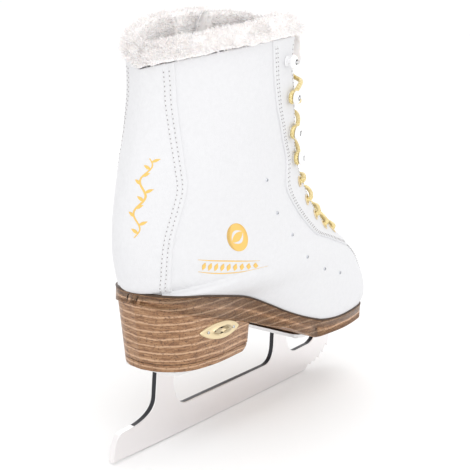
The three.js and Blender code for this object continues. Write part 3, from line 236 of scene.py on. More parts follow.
def make(name, points, faces, material, body="boot", shade=True):
    """Puts points and faces into Blender as one object, facing out, that moves with a body."""
    points = part_frame(points)
    faces = [np.asarray(f, int) for f in (faces if isinstance(faces, list) else [faces]) if len(f)]
    six = 0.0
    for f in faces:
        for k in range(1, f.shape[1] - 1):
            six += np.einsum("ij,ij->", points[f[:, 0]], np.cross(points[f[:, k]], points[f[:, k + 1]]))
    if six < 0:
        faces = [f[:, ::-1] for f in faces]
    sizes = np.concatenate([np.full(len(f), f.shape[1]) for f in faces])
    mesh = bpy.data.meshes.new(name)
    mesh.vertices.add(len(points))
    mesh.vertices.foreach_set("co", points.astype(np.float32).ravel())
    mesh.loops.add(int(sizes.sum()))
    mesh.loops.foreach_set("vertex_index", np.concatenate([f.ravel() for f in faces]).astype(np.int32))
    mesh.polygons.add(len(sizes))
    mesh.polygons.foreach_set("loop_start", (np.cumsum(sizes) - sizes).astype(np.int32))
    mesh.polygons.foreach_set("use_smooth", np.full(len(sizes), shade))
    mesh.update(calc_edges=True)
    mesh.validate()
    mesh.materials.append(material)
    o = bpy.data.objects.new(name, mesh)
    bpy.context.scene.collection.objects.link(o)
    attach(o, body)
    return o


def grid_faces(rows, cols, first=0, wrap=False):
    """Squares between the points of a grid stored row by row; wrap joins each row's end to its start."""
    j = np.arange(cols if wrap else cols - 1)
    i = np.arange(rows - 1)[:, None]
    k = (j + 1) % cols
    quads = np.stack([i * cols + j, (i + 1) * cols + j, (i + 1) * cols + k, i * cols + k], -1)
    return quads.reshape(-1, 4) + first


def slab_faces(rows, cols):
    """Faces of a closed slab between two grids of one size: both grids and the rim around them."""
    n = rows * cols
    top = grid_faces(rows, cols)
    rim = np.concatenate([np.arange(cols - 1), np.arange(rows - 1) * cols + cols - 1,
                          (rows - 1) * cols + np.arange(cols - 1, 0, -1),
                          np.arange(rows - 1, 0, -1) * cols])
    after = np.roll(rim, -1)
    side = np.stack([rim, after, after + n, rim + n], -1)
    return np.concatenate([top, top[:, ::-1] + n, side[:, ::-1]])


def slab(name, top, bottom, material, body="boot"):
    """A closed piece between two surfaces given as grids of points."""
    rows, cols = top.shape[:2]
    points = np.concatenate([top.reshape(-1, 3), bottom.reshape(-1, 3)])
    return make(name, points, slab_faces(rows, cols), material, body)


def ease_edge(distance, radius):
    """How far a rounded edge has dropped, at a distance in from the edge: a quarter circle."""
    inside = np.clip(1 - distance / radius, 0, 1)
    return radius * (1 - np.sqrt(1 - inside * inside))


def pole_caps(rows, cols, first_pole, last_pole):
    """Triangles that close a wrapped grid at both ends, each end fanned round its own pole point."""
    k = np.arange(cols)
    end = (rows - 1) * cols
    return [np.stack([np.roll(k, -1), k, np.full(cols, first_pole)], -1),
            np.stack([end + k, end + np.roll(k, -1), np.full(cols, last_pole)], -1)]


def tube_mesh(path, radius, sides, up):
    """Points and faces of a cord: at each point of the path a ring square to the path, turned so that one
    side keeps facing up, with both ends closed."""
    ahead = np.roll(path, -1, 0) - np.roll(path, 1, 0)
    ahead[0], ahead[-1] = path[1] - path[0], path[-1] - path[-2]
    ahead = unit(ahead)
    side = unit(np.cross(ahead, up))
    top = np.cross(side, ahead)
    angle = np.linspace(0, 2 * np.pi, sides, endpoint=False)
    ring = np.cos(angle)[None, :, None] * side[:, None] + np.sin(angle)[None, :, None] * top[:, None]
    points = (path[:, None] + ring * radius).reshape(-1, 3)
    n = len(points)
    points = np.concatenate([points, path[:1], path[-1:]])
    return points, [grid_faces(len(path), sides, wrap=True), *pole_caps(len(path), sides, n, n + 1)]


def turned(name, profile, base, axis, material, sides):
    """A piece turned round an axis from (radius, height) pairs; radius 0 closes it at a pole, and a
    profile that starts and ends off the axis closes on itself."""
    profile = np.asarray(profile, float)
    axis = unit(np.asarray(axis, float))
    other = np.array([1.0, 0, 0]) if abs(axis[0]) < 0.8 else np.array([0, 1.0, 0])
    e1 = unit(np.cross(axis, other))
    e2 = np.cross(axis, e1)
    angle = np.linspace(0, 2 * np.pi, sides, endpoint=False)
    ring = np.cos(angle)[:, None] * e1 + np.sin(angle)[:, None] * e2
    on_axis = profile[0, 0] == 0 and profile[-1, 0] == 0
    turned_rows = profile[1:-1] if on_axis else profile
    out, along_axis = turned_rows[:, 0][:, None, None], turned_rows[:, 1][:, None, None]
    points = (np.asarray(base) + out * ring[None] + along_axis * axis).reshape(-1, 3)
    rows = len(turned_rows)
    faces = [grid_faces(rows, sides, wrap=True)]
    if on_axis:
        n = len(points)
        points = np.concatenate([points, [base + profile[0, 1] * axis, base + profile[-1, 1] * axis]])
        faces += pole_caps(rows, sides, n, n + 1)
    else:
        k = np.arange(sides)
        last = (rows - 1) * sides
        faces.append(np.stack([last + k, k, np.roll(k, -1), last + np.roll(k, -1)], -1)[:, ::-1])
    return make(name, points, faces, material)


def rounded(profile, radius, steps=4):
    """A profile with each inner corner replaced by a small arc that starts and ends a radius away."""
    p = np.asarray(profile, float)
    out = [p[0]]
    for a, b, c in zip(p[:-2], p[1:-1], p[2:]):
        la, lc = np.linalg.norm(a - b), np.linalg.norm(c - b)
        r = min(radius, la * 0.45, lc * 0.45)
        start, end = b + (a - b) / la * r, b + (c - b) / lc * r
        for f in np.linspace(0, 1, steps):
            out.append((1 - f) ** 2 * start + 2 * f * (1 - f) * b + f * f * end)
    out.append(p[-1])
    return np.array(out)


def along(points, pitch):
    """Evenly spaced places on a line of points: their position, and the direction of travel."""
    seg = np.linalg.norm(np.diff(points, axis=0), axis=1)
    run = np.concatenate([[0], np.cumsum(seg)])
    want = np.arange(pitch / 2, run[-1], pitch)
    place = np.stack([np.interp(want, run, points[:, k]) for k in range(3)], -1)
    ahead = np.stack([np.interp(want + 0.4, run, points[:, k]) for k in range(3)], -1)
    behind = np.stack([np.interp(want - 0.4, run, points[:, k]) for k in range(3)], -1)
    return place, unit(ahead - behind), want / run[-1]


BEAD_STEPS = 7
BEAD_SIDES = 8
STITCH_PITCH = 2.9


def stitches(name, lines, material, length=2.2, thick=0.62, body="boot", start=0.0, dip=0.35):
    """Rows of thread: each stitch is a short rounded bead lying along its line, half sunk in the
    leather, with its ends turned down into the holes. A line is (points, outward directions)."""
    u = np.linspace(0, np.pi, BEAD_STEPS)
    v = np.linspace(0, 2 * np.pi, BEAD_SIDES, endpoint=False)
    along_bead = -np.cos(u) * length / 2
    girth = np.sin(u) ** 0.6 * thick / 2
    sink = -dip * (np.cos(u) ** 6)
    all_points, all_faces, count = [], [], 0
    bead = grid_faces(BEAD_STEPS, BEAD_SIDES, wrap=True)
    each = BEAD_STEPS * BEAD_SIDES
    for points, outward in lines:
        place, ahead, f = along(points, STITCH_PITCH)
        place = place + ahead * (STITCH_PITCH * start)
        index = f * (len(points) - 1)
        out = unit(np.stack([np.interp(index, np.arange(len(points)), outward[:, k]) for k in range(3)], -1))
        across = unit(np.cross(out, ahead))
        p = (place[:, None, None] + along_bead[None, :, None, None] * ahead[:, None, None]
             + (girth[:, None] * np.cos(v))[None, ..., None] * across[:, None, None]
             + (girth[:, None] * np.sin(v) + sink[:, None])[None, ..., None] * out[:, None, None])
        n = len(place)
        all_points.append(p.reshape(-1, 3))
        all_faces.append((bead[None] + (np.arange(n) * each)[:, None, None] + count).reshape(-1, 4))
        count += n * each
    return make(name, np.concatenate(all_points), np.concatenate(all_faces), material, body)


# ------------------------------------------------------------------ materials


class Shader:
    """A material's nodes, built by short calls; every pattern is read in the piece's own space, in
    millimetres."""

    def __init__(self, name, colour, rough, metal=0.0, sheen=0.0, coat=0.0):
        """Starts from one plain finish, with its colour, roughness, metal, sheen and clear coat."""
        self.material = bpy.data.materials.new(name)
        self.material.use_nodes = True
        self.nodes = self.material.node_tree.nodes
        self.links = self.material.node_tree.links
        self.bsdf = self.nodes["Principled BSDF"]
        self.set("Base Color", (*colour, 1))
        self.set("Roughness", rough)
        self.set("Metallic", metal)
        self.set("Coat Weight", coat)
        self.set("Sheen Weight", sheen)
        coords = self.nodes.new("ShaderNodeTexCoord")
        self.space = coords.outputs["Object"]
        self.heights = []

    def set(self, socket, value):
        """Gives one of the finish's sockets a plain value."""
        self.bsdf.inputs[socket].default_value = value

    def scaled(self, x, y, z):
        """The piece's own space stretched by (x, y, z)."""
        node = self.nodes.new("ShaderNodeMapping")
        node.inputs["Scale"].default_value = (x, y, z)
        self.links.new(self.space, node.inputs["Vector"])
        return node.outputs["Vector"]

    def noise(self, per_mm, detail=3.0, rough=0.55, vector=None):
        """Soft clouds, with so many to the millimetre."""
        node = self.nodes.new("ShaderNodeTexNoise")
        node.inputs["Scale"].default_value = per_mm / MM
        node.inputs["Detail"].default_value = detail
        node.inputs["Roughness"].default_value = rough
        self.links.new(vector or self.space, node.inputs["Vector"])
        return node.outputs["Fac"]

    def cells(self, per_mm, feature="DISTANCE_TO_EDGE"):
        """Irregular cells, with so many to the millimetre."""
        node = self.nodes.new("ShaderNodeTexVoronoi")
        node.feature = feature
        node.inputs["Scale"].default_value = per_mm / MM
        self.links.new(self.space, node.inputs["Vector"])
        return node.outputs["Distance"]

    def ramp(self, value, stops):
        """Turns a value into a colour through (place, colour) stops."""
        node = self.nodes.new("ShaderNodeValToRGB")
        ramp = node.color_ramp
        while len(ramp.elements) < len(stops):
            ramp.elements.new(0.5)
        for element, (place, colour) in zip(ramp.elements, stops):
            element.position = place
            element.color = (*colour, 1) if len(colour) == 3 else (colour[0],) * 3 + (1,)
        self.links.new(value, node.inputs["Fac"])
        return node.outputs["Color"]

    def math(self, kind, a, b):
        """One sum on two values or outputs."""
        node = self.nodes.new("ShaderNodeMath")
        node.operation = kind
        for socket, v in zip(node.inputs, (a, b)):
            if isinstance(v, (int, float)):
                socket.default_value = v
            else:
                self.links.new(v, socket)
        return node.outputs["Value"]

    def colour(self, value, stops):
        """Colours the surface by a value, through (place, colour) stops."""
        self.links.new(self.ramp(value, stops), self.bsdf.inputs["Base Color"])
        return self

    def rough(self, value, low, high):
        """Runs the roughness from low to high as the value rises."""
        node = self.nodes.new("ShaderNodeMapRange")
        node.inputs["To Min"].default_value = low
        node.inputs["To Max"].default_value = high
        self.links.new(value, node.inputs["Value"])
        self.links.new(node.outputs["Result"], self.bsdf.inputs["Roughness"])
        return self

    def bump(self, value, millimetres, strength=1.0):
        """Raises the surface by up to so many millimetres where the value is high."""
        node = self.nodes.new("ShaderNodeBump")
        node.inputs["Distance"].default_value = millimetres * MM
        node.inputs["Strength"].default_value = strength
        self.links.new(value, node.inputs["Height"])
        if self.heights:
            self.links.new(self.heights[-1], node.inputs["Normal"])
        self.heights.append(node.outputs["Normal"])
        self.links.new(node.outputs["Normal"], self.bsdf.inputs["Normal"])
        return self


def leather(name, colour, rough):
    """Coated leather: shallow irregular pebbles half a millimetre across, with fine creases between
    them and slow hollows."""
    m = Shader(name, colour, rough, coat=0.05)
    m.bump(m.cells(1.5), 0.16, 0.55)
    m.bump(m.noise(0.9, 6, 0.65), 0.3, 0.5)
    m.bump(m.noise(0.02, 2), 2.0, 0.18)
    low = tuple(c * 0.965 for c in colour)
    m.colour(m.noise(0.35, 4), [(0.3, low), (0.7, colour)])
    m.rough(m.noise(0.8, 3), rough - 0.06, rough + 0.08)
    return m.material


WHITE = leather("white_leather", (0.735, 0.735, 0.75), 0.5)
TONGUE_WHITE = leather("tongue_leather", (0.72, 0.72, 0.735), 0.55)


def thread(name, colour, rough, metal, per_mm=3.0):
    """Twisted thread: fine slanting strands."""
    m = Shader(name, colour, rough, metal=metal, sheen=0.1)
    m.bump(m.noise(per_mm, 2, 0.5, m.scaled(1, 1, 0.35)), 0.12, 0.6)
    return m.material


WHITE_THREAD = thread("white_thread", (0.8, 0.8, 0.8), 0.6, 0)
# Dark grey for the needle holes: painted shade in the holes where the thread goes in.
HOLE_SHADE = thread("needle_hole_shade", (0.3, 0.28, 0.28), 0.9, 0)


def lace_material():
    """Gold braid: metallic strands over a pale yellow core, with a painted highlight on the crowns
    of the braid at each weave cell's middle and painted dark brown shade at the cells' edges.
    """
    m = Shader("gold_braid", (0.86, 0.7, 0.32), 0.4, metal=0.35)
    weave = m.cells(1.25, "F1")
    # The ramp paints a highlight at the cells' middles and shade at their edges.
    m.colour(weave, [(0.05, (0.95, 0.86, 0.55)), (0.5, (0.84, 0.68, 0.3)), (0.9, (0.55, 0.4, 0.14))])
    m.bump(weave, 0.35, 0.9)
    m.rough(m.noise(2.5, 2), 0.28, 0.55)
    return m.material


GOLD_LACE = lace_material()


def fur_material(name, colour):
    """Off-white wool pile: soft random clouds of a slightly darker, warmer tone, soft all through."""
    m = Shader(name, colour, 0.95, sheen=0.25)
    low = tuple(c * k for c, k in zip(colour, (0.96, 0.94, 0.93)))
    m.colour(m.noise(0.25, 4), [(0.3, low), (0.65, colour)])
    m.set("Subsurface Weight", 0.12)
    m.set("Subsurface Radius", (0.004, 0.003, 0.0025))
    return m.material


FUR = fur_material("white_fur", (0.965, 0.945, 0.94))


LAYER = 5.15
LAYER_START = 0.0023


def stacked():
    """Stacked leather: flat layers about 5 mm thick, each its own brown, parted by thin pale lines,
    with dark flecks and fine streaks along the layers."""
    m = Shader("stacked_brown", (0.3, 0.18, 0.09), 0.42, coat=0.12)
    slow = m.noise(0.03, 2)
    stretched = m.scaled(0.1, 0.1, 1.0)
    wander = m.noise(0.5, 2, 0.5, stretched)
    split = m.nodes.new("ShaderNodeSeparateXYZ")
    m.links.new(m.space, split.inputs["Vector"])
    height = m.math("SUBTRACT", split.outputs["Z"], LAYER_START)
    height = m.math("ADD", height, m.math("MULTIPLY", m.math("SUBTRACT", slow, 0.5), 0.003))
    height = m.math("ADD", height, m.math("MULTIPLY", m.math("SUBTRACT", wander, 0.5), 0.0016))
    layer = m.math("MULTIPLY", height, 1000 / LAYER)
    phase = m.math("FRACT", layer, 0)
    edge = m.math("ABSOLUTE", m.math("SUBTRACT", phase, 0.5), 0)
    streaks = m.noise(1.1, 5, 0.7, m.scaled(0.13, 0.13, 1.0))
    flecks = m.noise(1.0, 3, 0.8, m.scaled(0.55, 0.55, 1.0))
    browns = [(0.32, (0.16, 0.066, 0.026)), (0.47, (0.27, 0.13, 0.055)), (0.62, (0.42, 0.235, 0.115))]
    base = m.ramp(streaks, browns)
    line = m.ramp(edge, [(0.0, (0.0,)), (0.34, (0.0,)), (0.44, (0.75,)), (0.5, (0.95,))])
    mixer = m.nodes.new("ShaderNodeMix")
    mixer.data_type = "RGBA"
    m.links.new(line, mixer.inputs["Factor"])
    m.links.new(base, mixer.inputs[6])
    mixer.inputs[7].default_value = (0.62, 0.39, 0.24, 1)
    dark = m.nodes.new("ShaderNodeMix")
    dark.data_type = "RGBA"
    dark.blend_type = "MULTIPLY"
    dark.inputs["Factor"].default_value = 0.95
    m.links.new(mixer.outputs[2], dark.inputs[6])
    m.links.new(m.ramp(flecks, [(0.36, (0.3, 0.24, 0.22)), (0.47, (1.0, 1.0, 1.0))]), dark.inputs[7])
    m.links.new(dark.outputs[2], m.bsdf.inputs["Base Color"])
    m.bump(streaks, 0.15, 0.35)
    m.bump(line, 0.12, 0.5)
    return m.material


STACKED = stacked()


def plain_brown(name, colour, rough):
    """Smooth stained leather with faint mottling."""
    m = Shader(name, colour, rough)
    low = tuple(c * 0.75 for c in colour)
    m.colour(m.noise(0.12, 4), [(0.3, low), (0.7, colour)])
    m.bump(m.noise(1.2, 4), 0.1, 0.4)
    return m.material


# Near-black brown for the welt strip: painted shade, the dark line where the upper meets the sole.
WELT_PAINTED_SHADE = plain_brown("welt_painted_shade", (0.085, 0.045, 0.022), 0.5)
BOARD = plain_brown("fibre_board", (0.5, 0.4, 0.28), 0.8)


def steel(name, colour, rough, lines):
    """Ground steel: fine scratches along the blade, with faint clouds in the polish."""
    m = Shader(name, colour, rough, metal=1.0)
    m.bump(m.noise(2.0, 3, 0.6, m.scaled(*lines)), 0.03, 0.35)
    m.rough(m.noise(0.05, 3), rough - 0.05, rough + 0.07)
    return m.material


STEEL = steel("blade_steel", (0.86, 0.835, 0.835), 0.34, (0.04, 1, 1))
# Near-black steel: a painted dark reflection for the blade's narrow faces.
PAINTED_REFLECTION_STEEL = steel("blade_edge_painted_reflection", (0.05, 0.05, 0.055), 0.4, (0.04, 1, 1))
PLATE = steel("plate_steel", (0.75, 0.74, 0.74), 0.34, (0.15, 1, 1))
SCREW = steel("screw_zinc", (0.62, 0.62, 0.63), 0.36, (1, 1, 1))


def gold(name, colour, rough):
    """Pale gold plate, faintly cloudy."""
    m = Shader(name, colour, rough, metal=1.0)
    m.rough(m.noise(0.6, 3), rough - 0.05, rough + 0.1)
    m.bump(m.noise(1.5, 2), 0.03, 0.3)
    return m.material


GOLD = gold("pale_gold", (0.8, 0.66, 0.42), 0.3)


def foil_print(name, colour):
    """Printed foil: half metallic, with a faint grain."""
    m = Shader(name, colour, 0.42, metal=0.5)
    return m.bump(m.noise(1.5, 3), 0.05, 0.4).material


def enamel(name, colour):
    """Glossy white enamel under a clear coat, very slightly uneven."""
    m = Shader(name, colour, 0.16, coat=0.5)
    return m.bump(m.noise(0.5, 2), 0.03, 0.2).material


def crystal(name, colour):
    """Grey cut crystal, bright and faintly smeared."""
    m = Shader(name, colour, 0.12, metal=0.35)
    return m.rough(m.noise(2.0, 2), 0.08, 0.2).material


FOIL = foil_print("gold_foil", (0.86, 0.56, 0.16))
ENAMEL = enamel("white_enamel", (0.9, 0.9, 0.91))
STUD = crystal("grey_crystal", (0.62, 0.64, 0.68))


def cloth(name, colour):
    """Brushed lining cloth: a fine soft weave."""
    m = Shader(name, colour, 0.95, sheen=0.3)
    m.bump(m.noise(2.2, 4, 0.7), 0.2, 0.6)
    m.colour(m.noise(0.5, 4), [(0.3, tuple(c * 0.9 for c in colour)), (0.7, colour)])
    return m.material


LINING = cloth("lining_cloth", (0.84, 0.82, 0.8))


# ------------------------------------------------------------------ leather upper


def masked_slab(name, top, bottom, keep, material, body="boot"):
    """A closed sheet between two grids of points, leaving out the squares that are not kept; every open
    edge gets a rim."""
    rows, cols = top.shape[:2]
    n = rows * cols
    quads = grid_faces(rows, cols)[np.asarray(keep).ravel()]
    edges = np.concatenate([quads[:, [k, (k + 1) % 4]] for k in range(4)])
    code = edges[:, 0].astype(np.int64) * n + edges[:, 1]
    back = edges[:, 1].astype(np.int64) * n + edges[:, 0]
    rim = edges[~np.isin(code, back)]
    side = np.stack([rim[:, 1], rim[:, 0], rim[:, 0] + n, rim[:, 1] + n], -1)
    points = np.concatenate([top.reshape(-1, 3), bottom.reshape(-1, 3)])
    used, flat = np.unique(np.concatenate([quads, quads[:, ::-1] + n, side]), return_inverse=True)
    return make(name, points[used], flat.reshape(-1, 4), material, body)


def run_along(points, axis):
    """Millimetres travelled over a grid of points from its first row or column."""
    steps = np.linalg.norm(np.diff(points, axis=axis), axis=-1)
    return np.concatenate([np.zeros_like(steps.take([0], axis)), np.cumsum(steps, axis)], axis)


EDGE_STEPS = np.array([0, 0.12, 0.3, 0.55, 0.85, 1.2, 1.8])


def columns(t, side, q_from, q_to, middle):
    """|s| values for each row: close together near both edges, even between them."""
    a, b = q_from(t)[:, None], q_to(t)[:, None]
    sa = EDGE_STEPS[None] / span(t, side * np.clip(q_from(t), 0.01, 0.97))[:, None]
    sb = EDGE_STEPS[::-1][None] / span(t, side * np.clip(q_to(t), 0.01, 0.97))[:, None]
    limit = (b - a) * 0.2
    left = a + np.minimum(sa, limit * (EDGE_STEPS / EDGE_STEPS[-1]))
    right = b - np.minimum(sb, limit * (EDGE_STEPS[::-1] / EDGE_STEPS[-1]))
    f = np.linspace(0, 1, middle + 2)[1:-1]
    return np.concatenate([left, left[:, -1:] + (right[:, :1] - left[:, -1:]) * f, right], 1)


def leather_panel(name, side, t, q_from, q_to, middle, top, soft_from=0.0, soft_to=0.0, soft_start=0.0,
                  soft_end=0.0, holes=()):
    """One panel of the upper: it lies between two seam lines, stands so far above the surface, and its
    cut edges are rounded over by the soft amounts."""
    q = columns(t, side, q_from, q_to, middle)
    s = side * np.clip(q, 1e-6, 1)
    tt = np.broadcast_to(t[:, None], q.shape)
    face_points = upper(tt, s)
    across, down = run_along(face_points, 1), run_along(face_points, 0)
    n = np.full(q.shape, float(top))
    for distance, radius in ((across, soft_from), (across[:, -1:] - across, soft_to),
                             (down, soft_start), (down[-1:] - down, soft_end)):
        if radius:
            n = n - ease_edge(distance, radius)
    p = upper(tt, s, n)
    r = upper(tt, s, np.full(q.shape, -LEATHER))
    keep = np.ones((len(t) - 1, q.shape[1] - 1), bool)
    middle_points = (p[:-1, :-1] + p[1:, 1:]) / 2
    for centre, radius in holes:
        keep &= np.linalg.norm(middle_points - centre, axis=-1) > radius
    return masked_slab(name, p, r, keep, WHITE)


LEATHER = 2.0
OVERLAY = 1.2
EDGE_TO_HOLE = 11.0
SIDES = (("lateral", -1), ("medial", 1))


def hole_q(t, side, back=EDGE_TO_HOLE):
    """|s| of a point so many millimetres back from the throat's edge."""
    edge = float(throat_s(t, side))
    s = edge
    for _ in range(4):
        s = edge - back / float(span(t, side * (s + edge) / 2))
    return s


def fine_rows(knots, step):
    """Values of t through the knots, at most a step apart."""
    spans = zip(knots[:-1], knots[1:])
    out = [np.linspace(a, b, max(2, int(np.ceil((b - a) / step)) + 1))[:-1] for a, b in spans]
    return np.concatenate(out + [[knots[-1]]])


COLLAR_ROWS = [0, 0.0015, 0.004, 0.008]
PANEL_STEP = 0.0062
FINE_STEP = 0.0045
EYELET_HOLE = 3.0


def quarter_back(t):
    """|s| of the quarter's rear edge: the back seam, closing to the back line below the heel's corner."""
    return np.where(t <= CORNER, back_seam(t), 0.15 * np.clip(1 - (t - CORNER) / 0.014, 0, 1))


def quarter_front(t):
    """|s| of the quarter's front edge: the facing seam, then the toe panel's seam."""
    return np.where(t <= FACING_END_T, facing_seam(t), vamp_seam(t))


def quarter_and_facing(label, side):
    """One side of the boot: the quarter, and the raised facing in front of it with its eyelet holes."""
    t = fine_rows([*COLLAR_ROWS, 0.69, CORNER, 0.727, 0.9, 0.998], PANEL_STEP)
    quarter = leather_panel(f"quarter_{label}_leather", side, t, quarter_back, quarter_front, 62, 0,
                            soft_start=0.9, soft_end=0.6)
    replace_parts(quarter, f"quarter_{label}")
    t = fine_rows([*COLLAR_ROWS, 0.80, 0.812, 0.8285], FINE_STEP)
    holes = [(upper(h, side * hole_q(h, side), OVERLAY), EYELET_HOLE) for h in EYELET_T]
    facing = leather_panel(f"facing_{label}_leather", side, t, facing_seam, lambda t: throat_s(t, side), 26,
                           OVERLAY, soft_from=1.1, soft_to=1.3, soft_start=1.2, soft_end=1.1, holes=holes)
    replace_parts(facing, f"facing_{label}")


for label, side in SIDES:
    quarter_and_facing(label, side)


def across_ridge(q_edge, middle):
    """Signed s from the outer edge over the front ridge to the inner edge, for each row."""
    f = np.linspace(0, 1, middle)
    outer = -(q_edge[:, None] + (1 - q_edge[:, None]) * f)
    inner = (q_edge[:, None] + (1 - q_edge[:, None]) * f)[:, ::-1]
    return np.concatenate([outer[:, :-1], inner], 1)


def vamp():
    """The toe panel, one sheet over the ridge between the two vamp seams, its back edge rounded at the
    throat."""
    t = fine_rows([0.8305, 0.833, 0.838, 0.9, 0.998], FINE_STEP)
    s = across_ridge(vamp_seam(t), 40)
    tt = np.broadcast_to(t[:, None], s.shape)
    n = -0.25 * np.exp(-((np.abs(s) - vamp_seam(t)[:, None]) * 90 / 1.2) ** 2)
    p = upper(tt, s, n)
    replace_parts(slab("vamp_leather", p, upper(tt, s, np.full(s.shape, -LEATHER)), WHITE), "vamp")


vamp()


PANEL_LAP = 0.004


def panel_edge(t):
    """|s| of the back panel's edge, which laps a little past the back seam."""
    return back_seam(t) + PANEL_LAP


def back_panel():
    """The panel up the back of the boot, one sheet round the heel with rolled edges, its lowest edge
    brought down to the sole."""
    t = fine_rows([*COLLAR_ROWS, 0.6, CORNER], PANEL_STEP)
    half = columns(t, 1, lambda t: np.zeros(len(t)), panel_edge, 20)[:, 1:]
    s = np.concatenate([-half[:, ::-1], np.zeros((len(t), 1)), half], 1)
    tt = np.broadcast_to(t[:, None], s.shape)
    width = panel_edge(t)[:, None]
    gap = (width - np.abs(s)) * span(t, back_seam(t))[:, None]
    down = ((t - t[0]) * SHAFT_HEIGHT / CORNER)[:, None] * np.ones_like(s)
    roll = 0.5 * np.exp(-((gap - 1.6) / 1.1) ** 2)
    n = OVERLAY - ease_edge(gap, 1.4) - ease_edge(down, 1.1) + roll
    p, r = upper(tt, s, n), upper(tt, s, np.full(s.shape, -LEATHER))
    foot_p, foot_r = p[-1:].copy(), r[-1:].copy()
    foot_p[..., 2] = seat_top(np.clip(foot_p[..., 0], 0, SOLE_LENGTH)) + 0.1
    foot_r[..., 2] = seat_top(np.clip(foot_r[..., 0], 0, SOLE_LENGTH)) + 0.1
    steps = np.array([0.5, 1.0])[:, None, None]
    p = np.concatenate([p, p[-1:] + (foot_p - p[-1:]) * steps])
    r = np.concatenate([r, r[-1:] + (foot_r - r[-1:]) * steps])
    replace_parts(slab("back_panel_leather", p, r, WHITE), "back_panel")


back_panel()


def on_upper(t, q, side, n):
    """A line of points on the upper and the direction out of it at each."""
    s = side * np.asarray(q)
    return upper(t, s, n), normal(t, s)


THREAD_LIFT = 0.12


def seam_rows():
    """Every visible row of stitching: two inside each edge of the back panel, two along each facing
    seam, one along the throat and one round the toe panel."""
    lines = []
    for _, side in SIDES:
        t = np.linspace(0.012, 0.708, 260)
        for inset in (4.0, 7.6):
            q = panel_edge(t) - inset / span(t, side * back_seam(t))
            lines.append(on_upper(t, q, side, OVERLAY + THREAD_LIFT))
        t = np.linspace(0.012, 0.822, 300)
        for inset in (2.4, 5.0):
            q = facing_seam(t) + inset / span(t, side * facing_seam(t))
            lines.append(on_upper(t, q, side, OVERLAY + THREAD_LIFT))
        t = np.linspace(0.012, 0.79, 300)
        edge = throat_s(t, side)
        q = edge - 3.0 / span(t, side * (edge - 0.02))
        lines.append(on_upper(t, q, side, OVERLAY + THREAD_LIFT))
        t = np.linspace(0.833, 0.985, 120)
        for inset in (2.0, 4.4):
            q = vamp_seam(t) + inset / span(t, side * vamp_seam(t))
            lines.append(on_upper(t, q, side, THREAD_LIFT))
    return lines


SEAM_ROWS = seam_rows()
stitches("seam_stitching", SEAM_ROWS, WHITE_THREAD)
# Short dark beads between the stitches: painted shade in the needle holes.
stitches("seam_needle_hole_shade", SEAM_ROWS, HOLE_SHADE, length=0.75, thick=0.7, start=0.5, dip=0.25)

# ------------------------------------------------------------------ fur


def furry(name, points, outward, material, length, count, width=0.42, droop=0.25, body="boot", curl=0.55):
    """Pile: each hair is a narrow tapering blade of three steps, rooted in the skin, leaning a random
    way off the surface's own direction and curling as it goes."""
    pick = rng.integers(0, len(points), count)
    root = points[pick] + rng.normal(0, 0.5, (count, 3))
    out = unit(outward[pick] + rng.normal(0, 0.38, (count, 3)) + [0, 0, 0.1])
    bend = unit(rng.normal(0, 1, (count, 3)) + [0, 0, -droop])
    bend = unit(bend - np.einsum("ij,ij->i", bend, out)[:, None] * out)
    side = np.cross(out, bend)
    long = length * rng.uniform(0.55, 1.15, count)
    f = np.array([0, 0.35, 0.7, 1.0])
    spine = (root[:, None] + out[:, None] * (long[:, None] * (f - 0.25 * f * f))[..., None]
             + bend[:, None] * (long[:, None] * curl * f * f)[..., None])
    wide = width * rng.uniform(0.7, 1.2, count)[:, None] * np.array([1.0, 0.9, 0.6])
    left = spine[:, :3] - side[:, None] * wide[..., None] / 2
    right = spine[:, :3] + side[:, None] * wide[..., None] / 2
    p = np.concatenate([np.stack([left, right], 2).reshape(count, 6, 3), spine[:, 3:]], 1)
    base = (np.arange(count) * p.shape[1])[:, None, None]
    quads = np.array([[0, 1, 3, 2], [2, 3, 5, 4]])[None] + base
    tips = np.array([[4, 5, 6]])[None] + base
    return make(name, p.reshape(-1, 3), [quads.reshape(-1, 4), tips.reshape(-1, 3)], material, body)


T_PER_MM = 0.25 / 39
FUR_INSIDE = 31
FUR_HAIRS = 30000
FUR_LENGTH = 3.4
WOOL_CLUMP = 4.0


def collar(s, n, h):
    """A point of the collar: n out from the leather's face and h above its top edge, or down inside
    where h is below 0."""
    s, n, h = np.broadcast_arrays(s, n, h)
    p = upper(np.maximum(0, -h) * T_PER_MM, s, n)
    p[..., 2] += np.maximum(0, h)
    return p


FUR_LOOP = np.array([[-6.7, -FUR_INSIDE], [-10.6, -29], [-12.2, -20], [-12.4, -10], [-12.0, 0], [-11.2, 5.5],
                     [-8.8, 9.8], [-5.2, 12.2], [-1.5, 12.0], [1.4, 9.2], [2.6, 5.2], [2.2, 1.4],
                     [0.4, 0.7], [-3.0, 0.6], [-6.7, 0.4], [-6.7, -8], [-6.7, -16], [-6.7, -24]])
FUR_END_HALF = 34.0
FUR_DROP = 17.0
FUR_DROP_START = 0.02


def smooth_loop(loop, steps):
    """A closed line through the points, rounded by a curve through each four in turn."""
    p = np.asarray(loop, float)
    f = np.linspace(0, 1, steps, endpoint=False)[None, :, None]
    a, b, c, d = (np.roll(p, k, 0)[:, None] for k in (1, 0, -1, -2))
    out = 0.5 * (2 * b + (c - a) * f + (2 * a - 5 * b + 4 * c - d) * f ** 2
                 + (3 * b - a - 3 * c + d) * f ** 3)
    return out.reshape(-1, 2)


def wool(p, amount, size):
    """A slow lumpy waviness from three crossed sines, for the clumps of a pile."""
    x, y, z = (p[..., k] / size for k in range(3))
    waves = (np.sin(x * 2.1 + 1.3 * np.sin(y * 1.7)) + np.sin(y * 2.3 + 1.1 * np.sin(z * 1.9 + 2))
             + np.sin(z * 2.0 + 1.2 * np.sin(x * 1.5 + 4)))
    return amount * waves / 3


